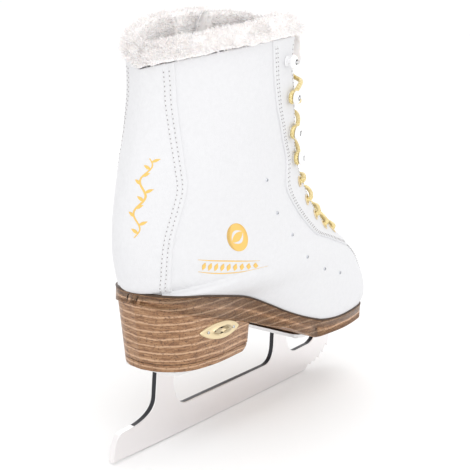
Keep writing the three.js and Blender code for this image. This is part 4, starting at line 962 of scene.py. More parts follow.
def fur_collar():
    """The fur collar: a padded roll that stands above the leather's edge and runs down inside, carried
    round the top of the boot, closed at both ends, with pile all over what shows."""
    loop = smooth_loop(FUR_LOOP, 3)
    s = np.linspace(-1, 1, 150)
    s = np.sign(s) * np.abs(s) * (s_at(0.0, FUR_END_HALF, 1) - 0.012)
    ends = np.clip(1 - np.abs(np.linspace(-1, 1, 150)), 0, 0.03) / 0.03
    shrink = np.sqrt(1 - (1 - ends) ** 2) * 0.75 + 0.25
    centre = np.array([-5.0, 2.0])
    n = centre[0] + (loop[:, 0][None] - centre[0]) * shrink[:, None]
    h = centre[1] + (loop[:, 1][None] - centre[1]) * shrink[:, None]
    edge = s_at(0.0, throat_half(0.0), 1) + FUR_DROP_START
    past = smooth((np.abs(s) - edge) / (s.max() - edge))[:, None]
    h = h - FUR_DROP * past * np.clip((h + FUR_INSIDE) / FUR_INSIDE, 0, 1)
    p = collar(s[:, None], n, h)
    m = len(loop)
    around = unit(np.roll(p, -1, 1) - np.roll(p, 1, 1))
    ahead = unit(np.gradient(p, axis=0))
    out = unit(np.cross(around, ahead))
    middle = p.mean(1, keepdims=True)
    out = out * np.sign(np.einsum("ijk,ijk->ij", out, p - middle).mean())
    outside = (n > -6.0) | (n < -7.4)
    lumps = wool(p, 1.0, WOOL_CLUMP) * np.where(outside, 1.0, 0.0)
    p = p + out * lumps[..., None]
    points = np.concatenate([p.reshape(-1, 3), p[:1].mean(1), p[-1:].mean(1)])
    caps = pole_caps(len(s), m, len(points) - 2, len(points) - 1)
    roll = make("fur_collar_roll", points, [grid_faces(len(s), m, wrap=True), *caps], FUR)
    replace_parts(roll, "fur_collar")
    shown = outside & (h > -28) & ~((h < 1.6) & (n > -6.5))
    furry("fur_collar_pile", p[shown], out[shown], FUR, FUR_LENGTH, FUR_HAIRS, width=0.36)


fur_collar()


# ------------------------------------------------------------------ sole and heel

WELT_EDGE = 0.8
HEEL_BOTTOM = 56.0
HEEL_TOP = 110
HEEL_BREAST = 89.5
HEEL_LIFT_THICK = 5.0
HEEL_RING_STEPS = 60


def sole_layer(name, inset, top_of, bottom_of, material, soft=0.6, body="boot"):
    """A layer shaped like the sole: its outline set in by an amount, its top and bottom heights
    following two curves along the foot, and its edges rounded."""
    u = 0.5 - 0.5 * np.cos(np.pi * np.linspace(0, 1, 140))
    x0, x1 = inset, SOLE_LENGTH - inset
    x = x0 + (x1 - x0) * u
    drawn = u * SOLE_LENGTH
    trim = inset * smooth(drawn / 12)
    y_out = -np.maximum(0, outer_half(drawn) - trim)
    y_in = np.maximum(0, inner_half(drawn) - trim)
    edge = np.array([0, 0.08, 0.2, 0.4, 0.7, 1.1])
    f = np.concatenate([edge, np.linspace(3, 100 - 3, 14), 100 - edge[::-1]])[None] / 100
    y = y_out[:, None] + (y_in - y_out)[:, None] * f
    gap = np.minimum(y - y_out[:, None], y_in[:, None] - y)
    xx = np.broadcast_to(x[:, None], y.shape)
    gap = np.minimum(gap, np.minimum(xx - x0, x1 - xx) * 1.5 + 0.02)
    drop = ease_edge(gap, soft)
    y = y + swing(xx)
    top = np.stack([xx, y, top_of(np.clip(xx, 0, SOLE_LENGTH)) - drop], -1)
    bottom = np.stack([xx, y, bottom_of(np.clip(xx, 0, SOLE_LENGTH)) + drop], -1)
    return slab(name, top, bottom, material, body)


def below_seat(depth):
    """A level that follows the top of the sole, so many millimetres below it."""
    return lambda x: seat_top(x) - depth


# The welt strip is coloured near-black: painted shade along the top of the sole.
welt = sole_layer("welt_strip", -WELT_EDGE - 0.25, below_seat(0.1), below_seat(1.25), WELT_PAINTED_SHADE, 0.5)
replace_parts(welt, "welt")
outsole = sole_layer("outsole_stack", -WELT_EDGE, below_seat(1.3), sole_under, STACKED, 0.5)
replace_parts(outsole, "outsole")
footbed = sole_layer("footbed_felt", 10, below_seat(-7.2), below_seat(-3.3), LINING, 1.2, "footbed")
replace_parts(footbed, "footbed")


def heel_back(z):
    """How far down the heel a level is, from 0 at its top to 1 at the floor end, and where its back is
    there."""
    down = (HEEL_TOP - z) / (HEEL_TOP - HEEL_BOTTOM)
    return down, -WELT_EDGE + 10 * down


def heel_half(half_of, part, down):
    """The heel's half width: the sole's own, with the welt's edge added and the lower part pinched in."""
    pinch = 2.5 * down * (1 - 0.6 * part)
    return half_of(HEEL_BREAST * part) + (WELT_EDGE - pinch) * smooth(part * 20)


def heel_ring(z, count):
    """The heel's outline at each height: along its outer side from the back to the breast, across the
    breast, and back along the inner side. The back leans in towards the floor and the breast rounds
    under."""
    down, rear = heel_back(z)
    low = np.maximum(0, 1 - (z - HEEL_BOTTOM) / 8)
    front = HEEL_BREAST - 2 * down - 8 * (1 - np.sqrt(1 - low * low))
    f = np.linspace(0, 1, count) ** 1.7
    x = rear[..., None] + (front - rear)[..., None] * f
    part = (x - rear[..., None]) / (HEEL_BREAST - rear[..., None])
    halves = [np.maximum(0, heel_half(of, part, down[..., None])) for of in (outer_half, inner_half)]
    g = np.linspace(-1, 1, 26)[1:-1]
    breast_y = np.where(g < 0, halves[0][..., -1:] * g, halves[1][..., -1:] * g)
    breast_x = np.broadcast_to(front[..., None], breast_y.shape)
    ring_x = np.concatenate([x, breast_x, x[..., :0:-1]], -1)
    ring_y = np.concatenate([-halves[0], breast_y, halves[1][..., :0:-1]], -1)
    return ring_x, ring_y


def heel_piece(name, z_low, top_of, material, soft=0.7):
    """A block of the heel between a level and a top surface: rings of the heel's outline stacked up,
    drawn in a little at the top and bottom edges, with caps."""
    f = np.concatenate([[0, 0.01, 0.025, 0.05], np.linspace(0.09, 0.91, 22), [0.95, 0.975, 0.99, 1]])
    x, _ = heel_ring(np.full(1, 100.0), HEEL_RING_STEPS)
    z_top = top_of(np.clip(x[0], 0, 89))
    z = z_low + (z_top - z_low)[None] * f[:, None]
    for _ in range(3):
        xs, ys = heel_ring_at(z)
        z_top = top_of(np.clip(xs[-1], 0, 89))
        z = z_low + (z_top - z_low)[None] * f[:, None]
    shrink = ease_edge(np.minimum(z - z[:1], z[-1:] - z), soft)
    middle = 44.0
    away = unit(np.stack([xs - middle, ys * 1.6], -1))
    p = np.stack([xs - away[..., 0] * shrink, ys - away[..., 1] * shrink, z], -1)
    rows, cols = p.shape[:2]
    poles = [[middle, 0, z_low], [middle, 0, top_of(np.array([middle]))[0]]]
    points = np.concatenate([p.reshape(-1, 3), poles])
    caps = pole_caps(rows, cols, rows * cols, rows * cols + 1)
    return make(name, points, [grid_faces(rows, cols, wrap=True), *caps], material)


def heel_ring_at(z):
    """The heel's outline with its own height at each place round it."""
    rings = [heel_ring(z[:, k], HEEL_RING_STEPS) for k in range(z.shape[1])]
    xs = np.stack([rings[k][0][:, k] for k in range(z.shape[1])], 1)
    ys = np.stack([rings[k][1][:, k] for k in range(z.shape[1])], 1)
    return xs, ys


def lift_top(x):
    """The flat top of the heel's lift."""
    return np.full(np.shape(x), HEEL_BOTTOM + HEEL_LIFT_THICK)


heel = heel_piece("heel_stack", HEEL_BOTTOM + HEEL_LIFT_THICK + 0.15, lambda x: sole_under(x) - 0.1, STACKED)
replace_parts(heel, "heel_block")
lift = heel_piece("heel_lift_stack", HEEL_BOTTOM + 0.05, lift_top, STACKED, 0.5)
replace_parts(lift, "heel_top_lift")

# ------------------------------------------------------------------ blade

RUNNER_TOP = 20.4
ROCKER_RADIUS = 5000
BLADE_HALF = 2.0
BLADE_CHAMFER = 0.35


def bend(a, control, b, steps=18):
    """A curve from a to b that leaves and arrives along the lines to the control point."""
    f = np.linspace(0, 1, steps)[1:, None]
    a, control, b = (np.asarray(v, float) for v in (a, control, b))
    return (1 - f) ** 2 * a + 2 * f * (1 - f) * control + f * f * b


def rocker(x):
    """Height of the running edge: flat for 40 mm in the middle, then a very slow arc up."""
    off = np.maximum(0, np.abs(np.asarray(x, float) - ORIGIN_X) - 20)
    return off * off / (2 * ROCKER_RADIUS)


def blade_outline():
    """The blade seen from its side: tail, rear stanchion, runner, front stanchion, toe stanchion, toe
    rake and running edge."""
    tail, toe, top = -19.0, 252.0, RUNNER_TOP
    rb, rf, fb, ff, ts = 24.5, 43.5, 168.7, 186.3, 241.0
    rear_top, front_top = 53.0, 46.0
    line = [np.array([[tail, rocker(tail)], [tail + 1.2, 11]]),
            bend((tail + 1.2, 11), (tail + 2.5, top - 1.6), (tail + 10, top - 1.2)),
            bend((tail + 10, top - 1.2), (rb - 1.5, top - 0.6), (rb - 0.8, top + 13), 28),
            np.array([[rb, rear_top], [rf, rear_top], [rf, top + 19]]),
            bend((rf, top + 19), (rf + 2, top + 0.8), (rf + 15, top), 28),
            np.array([[fb - 13, top - 0.4]]),
            bend((fb - 13, top - 0.4), (fb - 0.6, top - 0.6), (fb, top + 12), 24),
            np.array([[fb, front_top], [ff, front_top], [ff + 0.4, top + 16]]),
            bend((ff + 0.4, top + 16), (ff + 3, top + 1.5), (ff + 15, top + 0.4), 24),
            np.array([[ts - 21, top + 0.8]]),
            bend((ts - 21, top + 0.8), (ts - 10, top + 2.4), (ts - 9.6, top + 12), 20),
            np.array([[ts - 12, front_top], [ts + 9, front_top]]),
            bend((ts + 9, front_top), (toe + 3, top + 8), (toe, top - 3.5), 20)]
    f = np.linspace(0, 1, 5)
    x = (toe - 0.5) + (-25.5) * f
    z = (top - 8.4) + (rocker(toe - 26) + 1.6 - (top - 8.4)) * f - 2.6 * np.sin(np.pi * f) + 0.6
    teeth = np.stack([np.stack([x, z], -1), np.stack([x - 3.4, z + 2.2 - f], -1)], 1).reshape(-1, 2)
    edge_x = np.concatenate([np.linspace(toe - 33, 137, 14), np.linspace(97, tail, 20)[:-1]])
    line += [teeth, np.stack([edge_x, rocker(edge_x)], -1)]
    return np.concatenate(line)


def blade():
    """The blade: its outline 4 mm thick, with a 0.35 mm chamfer round both sides. The narrow faces
    above the runner are coloured near-black, a painted dark reflection."""
    p = blade_outline()
    before, after = unit(p - np.roll(p, 1, 0)), unit(np.roll(p, -1, 0) - p)
    area = 0.5 * np.sum(p[:, 0] * np.roll(p[:, 1], -1) - np.roll(p[:, 0], -1) * p[:, 1])
    turn = 1.0 if area > 0 else -1.0
    nb, na = (np.stack([-v[:, 1], v[:, 0]], -1) * turn for v in (before, after))
    inward = unit(nb + na)
    shrink = BLADE_CHAMFER / np.clip(np.einsum("ij,ij->i", inward, na), 0.55, 1)
    q = p + inward * shrink[:, None]
    flank = BLADE_HALF - BLADE_CHAMFER
    rings = [(q, -BLADE_HALF), (p, -flank), (p, flank), (q, BLADE_HALF)]
    points = np.concatenate([np.stack([r[:, 0], np.full(len(r), y), r[:, 1]], -1) for r, y in rings])
    n = len(p)
    k = np.arange(n)
    faces = [grid_faces(len(rings), n, wrap=True), k[None], (3 * n + k[::-1])[None]]
    piece = make("blade_ground", points, faces, STEEL, shade=False)
    mesh = piece.data
    # Second material: near-black steel, a painted dark reflection on the narrow faces above the runner.
    mesh.materials.append(PAINTED_REFLECTION_STEEL)
    facing, middle = np.zeros(len(mesh.polygons) * 3), np.zeros(len(mesh.polygons) * 3)
    mesh.polygons.foreach_get("normal", facing)
    mesh.polygons.foreach_get("center", middle)
    narrow = (np.abs(facing[1::3]) < 0.3) & (middle[2::3] > (RUNNER_TOP - 0.6) * MM)
    mesh.polygons.foreach_set("material_index", narrow.astype(np.int32))
    return piece


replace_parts(blade(), "blade")

# ------------------------------------------------------------------ hooks, eyelets, studs, screws


def hole_at(t, side, n=0.0):
    """The middle of a lace hole's place on the facing, and the direction out of it."""
    s = side * hole_q(t, side)
    return upper(t, s, n), normal(t, s)


FLANGE_UNDER = OVERLAY + 0.05
HOOK_PROFILE = rounded([[0, -1.5], [1.3, -1.5], [1.3, FLANGE_UNDER], [3.7, FLANGE_UNDER],
                        [3.5, FLANGE_UNDER + 0.6], [1.5, FLANGE_UNDER + 0.9], [1.4, 5.3], [4.4, 5.4],
                        [4.6, 6.2], [3.9, 7.6], [2.2, 8.35], [0, 8.5]], 0.35)
EYELET_PROFILE = rounded([[2.2, -2.6], [3.0, -2.6], [2.55, -2.1], [2.5, FLANGE_UNDER], [4.0, FLANGE_UNDER],
                          [3.95, FLANGE_UNDER + 0.35], [3.2, FLANGE_UNDER + 0.8],
                          [2.4, FLANGE_UNDER + 0.55], [2.2, 0.8], [2.2, -2.6]], 0.2, 3)
FITTINGS = (("hook", "enamel", HOOK_T, HOOK_PROFILE, ENAMEL),
            ("eyelet", "ring", EYELET_T, EYELET_PROFILE[:-1], GOLD))
for label, side in SIDES:
    for kind, part, places, profile, material in FITTINGS:
        for k, t in enumerate(places):
            base, axis = hole_at(t, side)
            node = f"{kind}_{label}_{k + 1}"
            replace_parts(turned(f"{node}_{part}", profile, base, axis, material, 32), node)

STUDS = [(0.451, 0.52), (0.58, 0.521), (0.666, 0.53), (0.764, 0.47), (0.834, 0.445), (0.864, 0.5)]
STUD_PROFILE = rounded([[0, -0.5], [1.25, -0.5], [1.3, 0.25], [0.95, 0.75], [0, 0.95]], 0.1, 3)
for k, (t, q) in enumerate(STUDS):
    for label, side in SIDES:
        turned(f"stud_{label}_{k + 1}", STUD_PROFILE, upper(t, side * q), normal(t, side * q), STUD, 16)

SCREW_PROFILE = rounded([[0, 1.2], [1.2, 1.1], [1.45, 0.05], [2.4, 0.12], [4, 1.2], [4, 2], [2, 2], [2, 6],
                         [0, 7]], 0.15, 3)
SCREWS = (("sole", 158, ((8, 22), (38, 20), (74, 13.5)), 44.0), ("heel", 17, ((13, 14.5), (44, 16.5)), 51.0))
for plate, plate_start, pairs, head_z in SCREWS:
    for k, (ahead, aside) in enumerate(pairs):
        for j, side in enumerate((-1, 1)):
            name = f"{plate}_screw_{2 * k + j + 1}"
            base = np.array([plate_start + ahead, side * aside, head_z])
            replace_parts(turned(f"{name}_head", SCREW_PROFILE, base, (0, 0, 1), SCREW, 28), name)

# ------------------------------------------------------------------ gold ornaments on the leather


def foil(name, curves, t0, q0, side, turn, material, n=0.14, overlay=0.0):
    """Printed ornament: flat bands laid on the leather. Each curve is (points in millimetres about a
    centre, half widths); it is turned, wrapped on the surface and given a hair's thickness."""
    points, faces, count = [], [], 0
    c, r = math.cos(math.radians(turn)), math.sin(math.radians(turn))
    unit_s = float(span(t0, side * q0))
    low = face(t0, side * q0)
    t_mm = 0.01 / float(np.linalg.norm(face(t0 + 0.01, side * q0) - low))
    for line, half in curves:
        line = np.asarray(line, float)
        half = np.broadcast_to(np.asarray(half, float), (len(line),))
        ahead = unit(np.gradient(line, axis=0))
        aside = np.stack([-ahead[:, 1], ahead[:, 0]], -1)
        f = np.linspace(-1, 1, 5)
        flat = line[:, None] + aside[:, None] * (half[:, None] * f)[..., None]
        a = flat[..., 0] * c - flat[..., 1] * r
        b = flat[..., 0] * r + flat[..., 1] * c
        t, s = t0 - b * t_mm, side * (q0 + a / unit_s)
        lift = overlay + n * (1 - 0.6 * f[None] ** 4) * np.ones_like(t)
        top, bottom = upper(t, s, lift), upper(t, s, np.full(t.shape, overlay - 0.1))
        rows, cols = t.shape
        points.append(np.concatenate([top.reshape(-1, 3), bottom.reshape(-1, 3)]))
        faces.append(slab_faces(rows, cols) + count)
        count += rows * cols * 2
    return make(name, np.concatenate(points), np.concatenate(faces), material)


def emblem(side, label):
    """A solid gold oval with two pale leaf shapes curling across it."""
    u = np.linspace(-10.9, 10.9, 60)
    disc = [(np.stack([np.zeros(60), u], -1), 9.4 * np.sqrt(np.maximum(0.002, 1 - (u / 11) ** 2)))]
    foil(f"emblem_{label}", disc, 0.608, 0.375, side, 0, FOIL)
    f = np.linspace(0, 1, 30)
    leaf = np.stack([-6 + 12 * f, 3.4 * np.sin(np.pi * f) + 0.8], -1)
    swell = 0.12 + 1.2 * np.sin(np.pi * f) ** 1.3
    leaves = [(leaf, swell), (leaf * [-1, -1], swell)]
    foil(f"emblem_leaves_{label}", leaves, 0.608, 0.375, side, 25, WHITE, 0.24)


def band_ornament(side, label):
    """A row of slanting gold lozenges between two fine lines that taper away."""
    curves = []
    for k in range(9):
        x = -20.8 + 5.2 * k
        f = np.linspace(-1, 1, 9)
        curves.append((np.stack([x + 1.5 * f, 3.4 * f], -1), 1.6 * (1 - np.abs(f) ** 1.5) + 0.05))
    f = np.linspace(-1, 1, 40)
    for y in (4.9, -4.9):
        line = np.stack([26 * f, y + 0.7 * np.sign(y) * (1 - f * f)], -1)
        curves.append((line, 0.14 + 0.4 * (1 - f * f)))
    foil(f"band_ornament_{label}", curves, 0.684, 0.326, side, -19, FOIL)


def vine():
    """A gold vine climbing the back panel on its outer half: a waving stem with a leaf on each bend."""
    f = np.linspace(0, 1, 90)
    stem = np.stack([2.6 * np.sin(f * 5 * np.pi), -25 + 50 * f], -1)
    curves = [(stem, 0.3 + 0.35 * np.sin(np.pi * f))]
    g = np.linspace(0, 1, 14)
    for k in range(10):
        y = -22.5 + 5 * k
        x = 2.6 * math.sin((y + 25) / 50 * 5 * math.pi)
        way = 1 if k % 2 else -1
        leaf = np.stack([x + way * 4.2 * g, y + 3.4 * g - 0.8 * g * g], -1)
        curves.append((leaf, 0.06 + 0.95 * np.sin(np.pi * g ** 0.8)))
    foil("back_vine", curves, 0.445, 0.077, -1, -4, FOIL, overlay=OVERLAY)


for label, side in SIDES:
    emblem(side, label)
    band_ornament(side, label)
vine()

# ------------------------------------------------------------------ badge

BADGE_X = 53
BADGE_Z = 79
BADGE_HALF_LENGTH = 21.5
BADGE_HALF_HEIGHT = 5.9
BADGE_TILT = math.radians(-5)
RIVET_REACH = 14.2


def heel_side(x, z):
    """A point of the heel's outer side at a given length and height."""
    down, rear = heel_back(z)
    half = heel_half(outer_half, (x - rear) / (HEEL_BREAST - rear), down)
    return np.stack([x, -half, z], -1)


def badge():
    """A pointed oval plate on the heel's side with a raised rim round a sunk field, held by two small
    domed rivets."""
    r = np.array([0, 0.4, 0.7, 0.84, 0.87, 0.9, 0.94, 0.98, 1.0])
    lift = np.array([0.85, 0.85, 0.85, 0.86, 0.95, 1.0, 1.0, 0.85, 0.5])
    u = np.linspace(0, 2 * np.pi, 96, endpoint=False)
    edge_x = np.cos(u)
    edge_y = np.sin(u) * np.sqrt(np.abs(np.sin(u)))
    dx = r[:, None] * edge_x * BADGE_HALF_LENGTH
    dz = r[:, None] * edge_y * BADGE_HALF_HEIGHT
    x = BADGE_X + dx * math.cos(BADGE_TILT) - dz * math.sin(BADGE_TILT)
    z = BADGE_Z + dx * math.sin(BADGE_TILT) + dz * math.cos(BADGE_TILT)
    top = heel_side(x, z)
    top[..., 1] -= lift[:, None]
    under = heel_side(x[-1:], z[-1:]) - [0, 0.1, 0]
    rows = np.concatenate([top[1:], under])
    n = len(u)
    under_middle = heel_side(np.float64(BADGE_X), np.float64(BADGE_Z)) - [0, 0.1, 0]
    points = np.concatenate([rows.reshape(-1, 3), top[:1, 0], [under_middle]])
    caps = pole_caps(len(rows), n, len(points) - 2, len(points) - 1)
    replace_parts(make("badge_plate", points, [grid_faces(len(rows), n, wrap=True), *caps], GOLD), "badge")
    dome = rounded([[0, 0], [1.15, 0], [1.1, 0.4], [0.7, 0.75], [0, 0.85]], 0.12, 3)
    for name, along_x in (("badge_rivet_rear", -RIVET_REACH), ("badge_rivet_front", RIVET_REACH)):
        x, z = np.float64(BADGE_X + along_x), np.float64(BADGE_Z + along_x * math.sin(BADGE_TILT))
        base = heel_side(x, z) - [0, 0.8, 0]
        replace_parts(turned(f"{name}_dome", dome, base, (0, -1, 0), SCREW, 20), name)


badge()

# ------------------------------------------------------------------ lining, tongue

LINING_FACE = -4.25
UNDER_LINING = -6.6
TONGUE_LEATHER = 1.6
TONGUE_PAD = 5.0
TONGUE_FACE = -0.8
TONGUE_BASE_T = 0.86
TONGUE_RISE = 12
PAD_END = 0.875
PAD_HAIRS = 15000
LINING_CLOSE_T = 0.86


def lining():
    """The cloth lining: one sheet round the inside of both halves, from one throat edge round the back
    to the other, parted along the sole below the heel's corner."""
    t = fine_rows([0.004, 0.012, CORNER, LINING_CLOSE_T, LINING_CLOSE_T + 0.004, 0.985], 0.0075)
    columns_each = 46
    edges = []
    for _, side in SIDES:
        open_s = throat_s(t, side)
        edges.append(np.where(t > LINING_CLOSE_T, 1.0, open_s - 16.5 / span(t, side * (open_s - 0.08))))
    f = np.linspace(0, 1, columns_each)
    s = np.concatenate([-(edges[0][:, None] * f)[:, ::-1] - 1e-6, edges[1][:, None] * f + 1e-6], 1)
    tt = np.broadcast_to(t[:, None], s.shape)
    keep = np.ones((len(t) - 1, s.shape[1] - 1), bool)
    keep[t[:-1] > CORNER - 0.004, columns_each - 1] = False
    return masked_slab("lining_cloth", upper(tt, s, np.full(s.shape, LINING_FACE)),
                       upper(tt, s, np.full(s.shape, UNDER_LINING)), keep, LINING)


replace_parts(lining(), "lining")


def tongue_depth(t, s):
    """How deep the tongue's face lies: under the fur and the lining at its sides, rising between the
    facings to just below their face."""
    reach = throat_half(np.minimum(t, 0.76))
    wide = np.where(s < 0, width_outer(t), width_inner(t))
    y = wide * np.maximum(0, 1 - np.cos(np.pi * np.abs(s)) ** 2) ** (1 / round_front(t))
    fraction = np.where(np.abs(s) < 0.5, 0, 1 - y / reach)
    sides = mix(UNDER_LINING - 0.3 - 6.2, UNDER_LINING - 0.9, smooth((t - 0.2) / 0.1))
    middle = mix(TONGUE_FACE, sides, smooth((t - 0.7) / 0.06))
    return mix(sides, middle, smooth((fraction - 0.3) / 0.6))


def tongue(u, v, extra):
    """A point of the tongue: u runs from its top edge down to where it is sewn in, v across it, and
    extra is the height above its face. The top stands 12 mm above the leather with rounded
    shoulders."""
    t = TONGUE_BASE_T * np.maximum(0, (u - 0.1) / 0.9)
    rise = np.maximum(0, 1 - u / 0.1)
    reach = np.minimum(t, 0.74)
    side = np.where(v < 0.5, -1.0, 1.0)
    open_s = throat_s(reach, side)
    edge = open_s - (20 - 8 * rise ** 2) / span(reach, side * (open_s - 0.1))
    narrow = mix(edge, 0.72, smooth((t - 0.72) / 0.1))
    s = side * mix(1.0, narrow, np.abs(v * 2 - 1))
    p = upper(t, s, tongue_depth(t, s) + extra)
    p[..., 2] += TONGUE_RISE * rise
    return p


def tongue_pieces():
    """The tongue's leather, eased over at its edges, with its fleece pad behind it and two rows of
    stitching inside the edge."""
    u, v = np.meshgrid(np.linspace(0, 1, 130), np.linspace(0, 1, 64), indexing="ij")
    base = tongue(u, v, np.zeros(u.shape))
    across, down = run_along(base, 1), run_along(base, 0)
    gap = np.minimum(np.minimum(across, across[:, -1:] - across), down)
    puff = 0.5 * smooth((gap - 5) / 8)
    leather_top = tongue(u, v, puff - ease_edge(gap, 0.7))
    leather_under = tongue(u, v, np.full(u.shape, -TONGUE_LEATHER))
    leather_piece = slab("tongue_leather", leather_top, leather_under, TONGUE_WHITE, "tongue")
    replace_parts(leather_piece, "tongue")
    lines = []
    for inset in (2.6, 5.0):
        us = np.linspace(0.02, 0.97, 240)
        for side in (0, 1):
            width = np.interp(us, u[:, 0], across[:, -1])
            vs = inset / width if side == 0 else 1 - inset / width
            path = tongue(us, vs, np.full(us.shape, THREAD_LIFT))
            above = tongue(us, vs, np.full(us.shape, THREAD_LIFT + 1))
            lines.append((path, unit(above - path)))
    stitches("tongue_stitching", lines, WHITE_THREAD, body="tongue")
    u, v = np.meshgrid(np.linspace(0, PAD_END, 90), np.linspace(0, 1, 48), indexing="ij")
    face_side = tongue(u, v, np.full(u.shape, -TONGUE_LEATHER - 0.2))
    gap = np.minimum(np.minimum(v, 1 - v) * 90, np.minimum(u, PAD_END - u) * 190)
    lumps = wool(face_side, 0.5, WOOL_CLUMP) * smooth(gap / 6)
    inner = tongue(u, v, -TONGUE_LEATHER - 0.3 - TONGUE_PAD + ease_edge(gap, TONGUE_PAD * 0.8) + lumps)
    pad = slab("tongue_pad_fleece", face_side, inner, FUR, "tongue")
    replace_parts(pad, "tongue_pad")
    out = unit(np.cross(np.gradient(inner, axis=0), np.gradient(inner, axis=1)))
    out = out * np.sign(np.einsum("ijk,ijk->ij", out, inner - face_side))[..., None]
    near = u < 0.5
    furry("tongue_pad_pile", inner[near], out[near], FUR, 3.6, PAD_HAIRS, body="tongue")


tongue_pieces()

# ------------------------------------------------------------------ lace

LACE_RADIUS = 1.5
OVER_EDGE = OVERLAY + 0.3 + LACE_RADIUS
OVER_FLANGE = FLANGE_UNDER + 0.6 + LACE_RADIUS + 0.15
UNDER_FACING = -LEATHER - 1.4 - LACE_RADIUS
OVER_TONGUE = TONGUE_FACE + 0.5 + LACE_RADIUS + 0.4
CROSSING_LIFT = 2 * LACE_RADIUS + 0.25
HOOK_APPROACH = 0.022
NECK_ROUND = 1.3 + LACE_RADIUS + 0.3
LACE_STEP = 0.36
BRAID_TURN = 2.2
FROM_UNDER = np.array([0.02, 0.14, 0.26, 0.36, 0.5, 0.68, 0.86, 1])
FROM_OVER = np.array([0, 0.2, 0.36, 0.5, 0.64, 0.8, 1])


def down_throat(t, side):
    """The direction down the line of holes."""
    s = side * hole_q(t, side)
    return unit(upper(t + 0.01, s) - upper(t - 0.01, s))


def through_eyelet(t, side):
    """In at an eyelet from above and forward again underneath, to the throat's edge."""
    forward = [6, 2.4, 0.6, 0, 0, 0.9, 3.2, 7.5]
    n = [OVER_FLANGE, OVER_FLANGE, OVER_FLANGE - 1.0, 1.2, -1.4,
         UNDER_FACING + 1, UNDER_FACING, UNDER_FACING]
    s = np.array([side * hole_q(t, side, EDGE_TO_HOLE - f) for f in forward])
    points = upper(np.full(8, t), s, n)
    return points, np.broadcast_to(down_throat(t, side), points.shape)


def round_hook(t, side):
    """Round the back of a hook's neck, from its toe side to its collar side."""
    s = side * hole_q(t, side)
    centre = upper(t, s, OVER_FLANGE)
    axis = normal(t, s)
    forward = upper(t, side * hole_q(t, side, EDGE_TO_HOLE - 2), OVER_FLANGE) - centre
    forward = unit(forward - forward @ axis * axis)
    up = -down_throat(t, side)
    up = unit(up - up @ axis * axis - up @ forward * forward)
    angle = np.radians([-60, -90, -125, -150, 180, 150, 125, 90, 60])
    ahead = np.where(np.abs(np.degrees(angle)) < 80, 3.4, NECK_ROUND * np.cos(angle))
    beside = NECK_ROUND * np.where(np.abs(np.degrees(angle)) < 80, np.sign(angle), np.sin(angle))
    points = centre + ahead[:, None] * forward + beside[:, None] * up
    return points, np.broadcast_to(axis, points.shape)


def over_throat(t_from, t_to, side_from, from_under, lift):
    """From one side of the throat to the other, over the tongue."""
    g = FROM_UNDER if from_under else FROM_OVER
    t = mix(t_from, t_to, g)
    y = 1 - 2 * g
    side = np.where(y >= 0, side_from, -side_from)
    s = side * s_at(t, np.abs(y) * throat_half(t), side)
    middle = OVER_TONGUE + lift * smooth((1 - np.abs(y)) / 0.8)
    under = mix(UNDER_FACING, middle, smooth((0.98 - np.abs(y)) / 0.72))
    over = mix(OVER_EDGE, middle, smooth((1 - np.abs(y)) / 0.8))
    points = upper(t, s, np.where(from_under & (y > 0), under, over))
    return points, normal(t, s)


def strand(side, lift):
    """One half of the lace: from the lowest eyelet on a side up to the second hook, changing sides at
    every step, its end tucked behind the facing."""
    rows, hooks = EYELET_T[::-1], HOOK_T[::-1][:3]
    pieces = []
    for k, t in enumerate(rows):
        pieces.append(through_eyelet(t, side))
        after = rows[k + 1] if k + 1 < len(rows) else hooks[0] + HOOK_APPROACH
        pieces.append(over_throat(t - 0.002, after + 0.002, side, True, lift))
        side = -side
    for k, t in enumerate(hooks):
        pieces.append(round_hook(t, side))
        if k + 1 < len(hooks):
            pieces.append(over_throat(t - HOOK_APPROACH, hooks[k + 1] + HOOK_APPROACH, side, False, lift))
            side = -side
    t = hooks[-1] - HOOK_APPROACH - 0.006 * np.arange(1, 6)
    f = np.array([0.05, 0.2, 0.3, 0.26, 0.16])
    s = side * s_at(t, (1 - f) * throat_half(t), side)
    pieces.append((upper(t, s, [OVER_EDGE - 0.2, 1.2, -2.4, -4.4, -4.8]), normal(t, s)))
    return np.concatenate([p for p, _ in pieces]), np.concatenate([n for _, n in pieces])


def flowing_path(points, guides, spacing):
    """An even path through every point: between two points, a curve bent by the one before and the one
    after, weighted by the root of the gaps; the guides turn along with it."""
    p = np.concatenate([2 * points[:1] - points[1:2], points, 2 * points[-1:] - points[-2:-1]])
    a, b, c, d = p[:-3, None], p[1:-2, None], p[2:-1, None], p[3:, None]
    gap = lambda m, n: np.maximum(np.linalg.norm(n - m, axis=-1, keepdims=True), 1e-4) ** 0.5
    t1 = gap(a, b)
    t2 = t1 + gap(b, c)
    t3 = t2 + gap(c, d)
    f = np.linspace(0, 1, 24, endpoint=False)[None, :, None]
    t = mix(t1, t2, f)
    a1 = (t1 - t) / t1 * a + t / t1 * b
    a2 = (t2 - t) / (t2 - t1) * b + (t - t1) / (t2 - t1) * c
    a3 = (t3 - t) / (t3 - t2) * c + (t - t2) / (t3 - t2) * d
    b1 = (t2 - t) / t2 * a1 + t / t2 * a2
    b2 = (t3 - t) / (t3 - t1) * a2 + (t - t1) / (t3 - t1) * a3
    path = ((t2 - t) / (t2 - t1) * b1 + (t - t1) / (t2 - t1) * b2).reshape(-1, 3)
    guide = mix(guides[:-1, None], guides[1:, None], f).reshape(-1, 3)
    run = np.concatenate([[0], np.cumsum(np.linalg.norm(np.diff(path, axis=0), axis=-1))])
    even = np.linspace(0, run[-1], int(run[-1] / spacing) + 1)
    at = lambda values: np.stack([np.interp(even, run, values[:, k]) for k in range(3)], -1)
    return at(path), unit(at(guide))


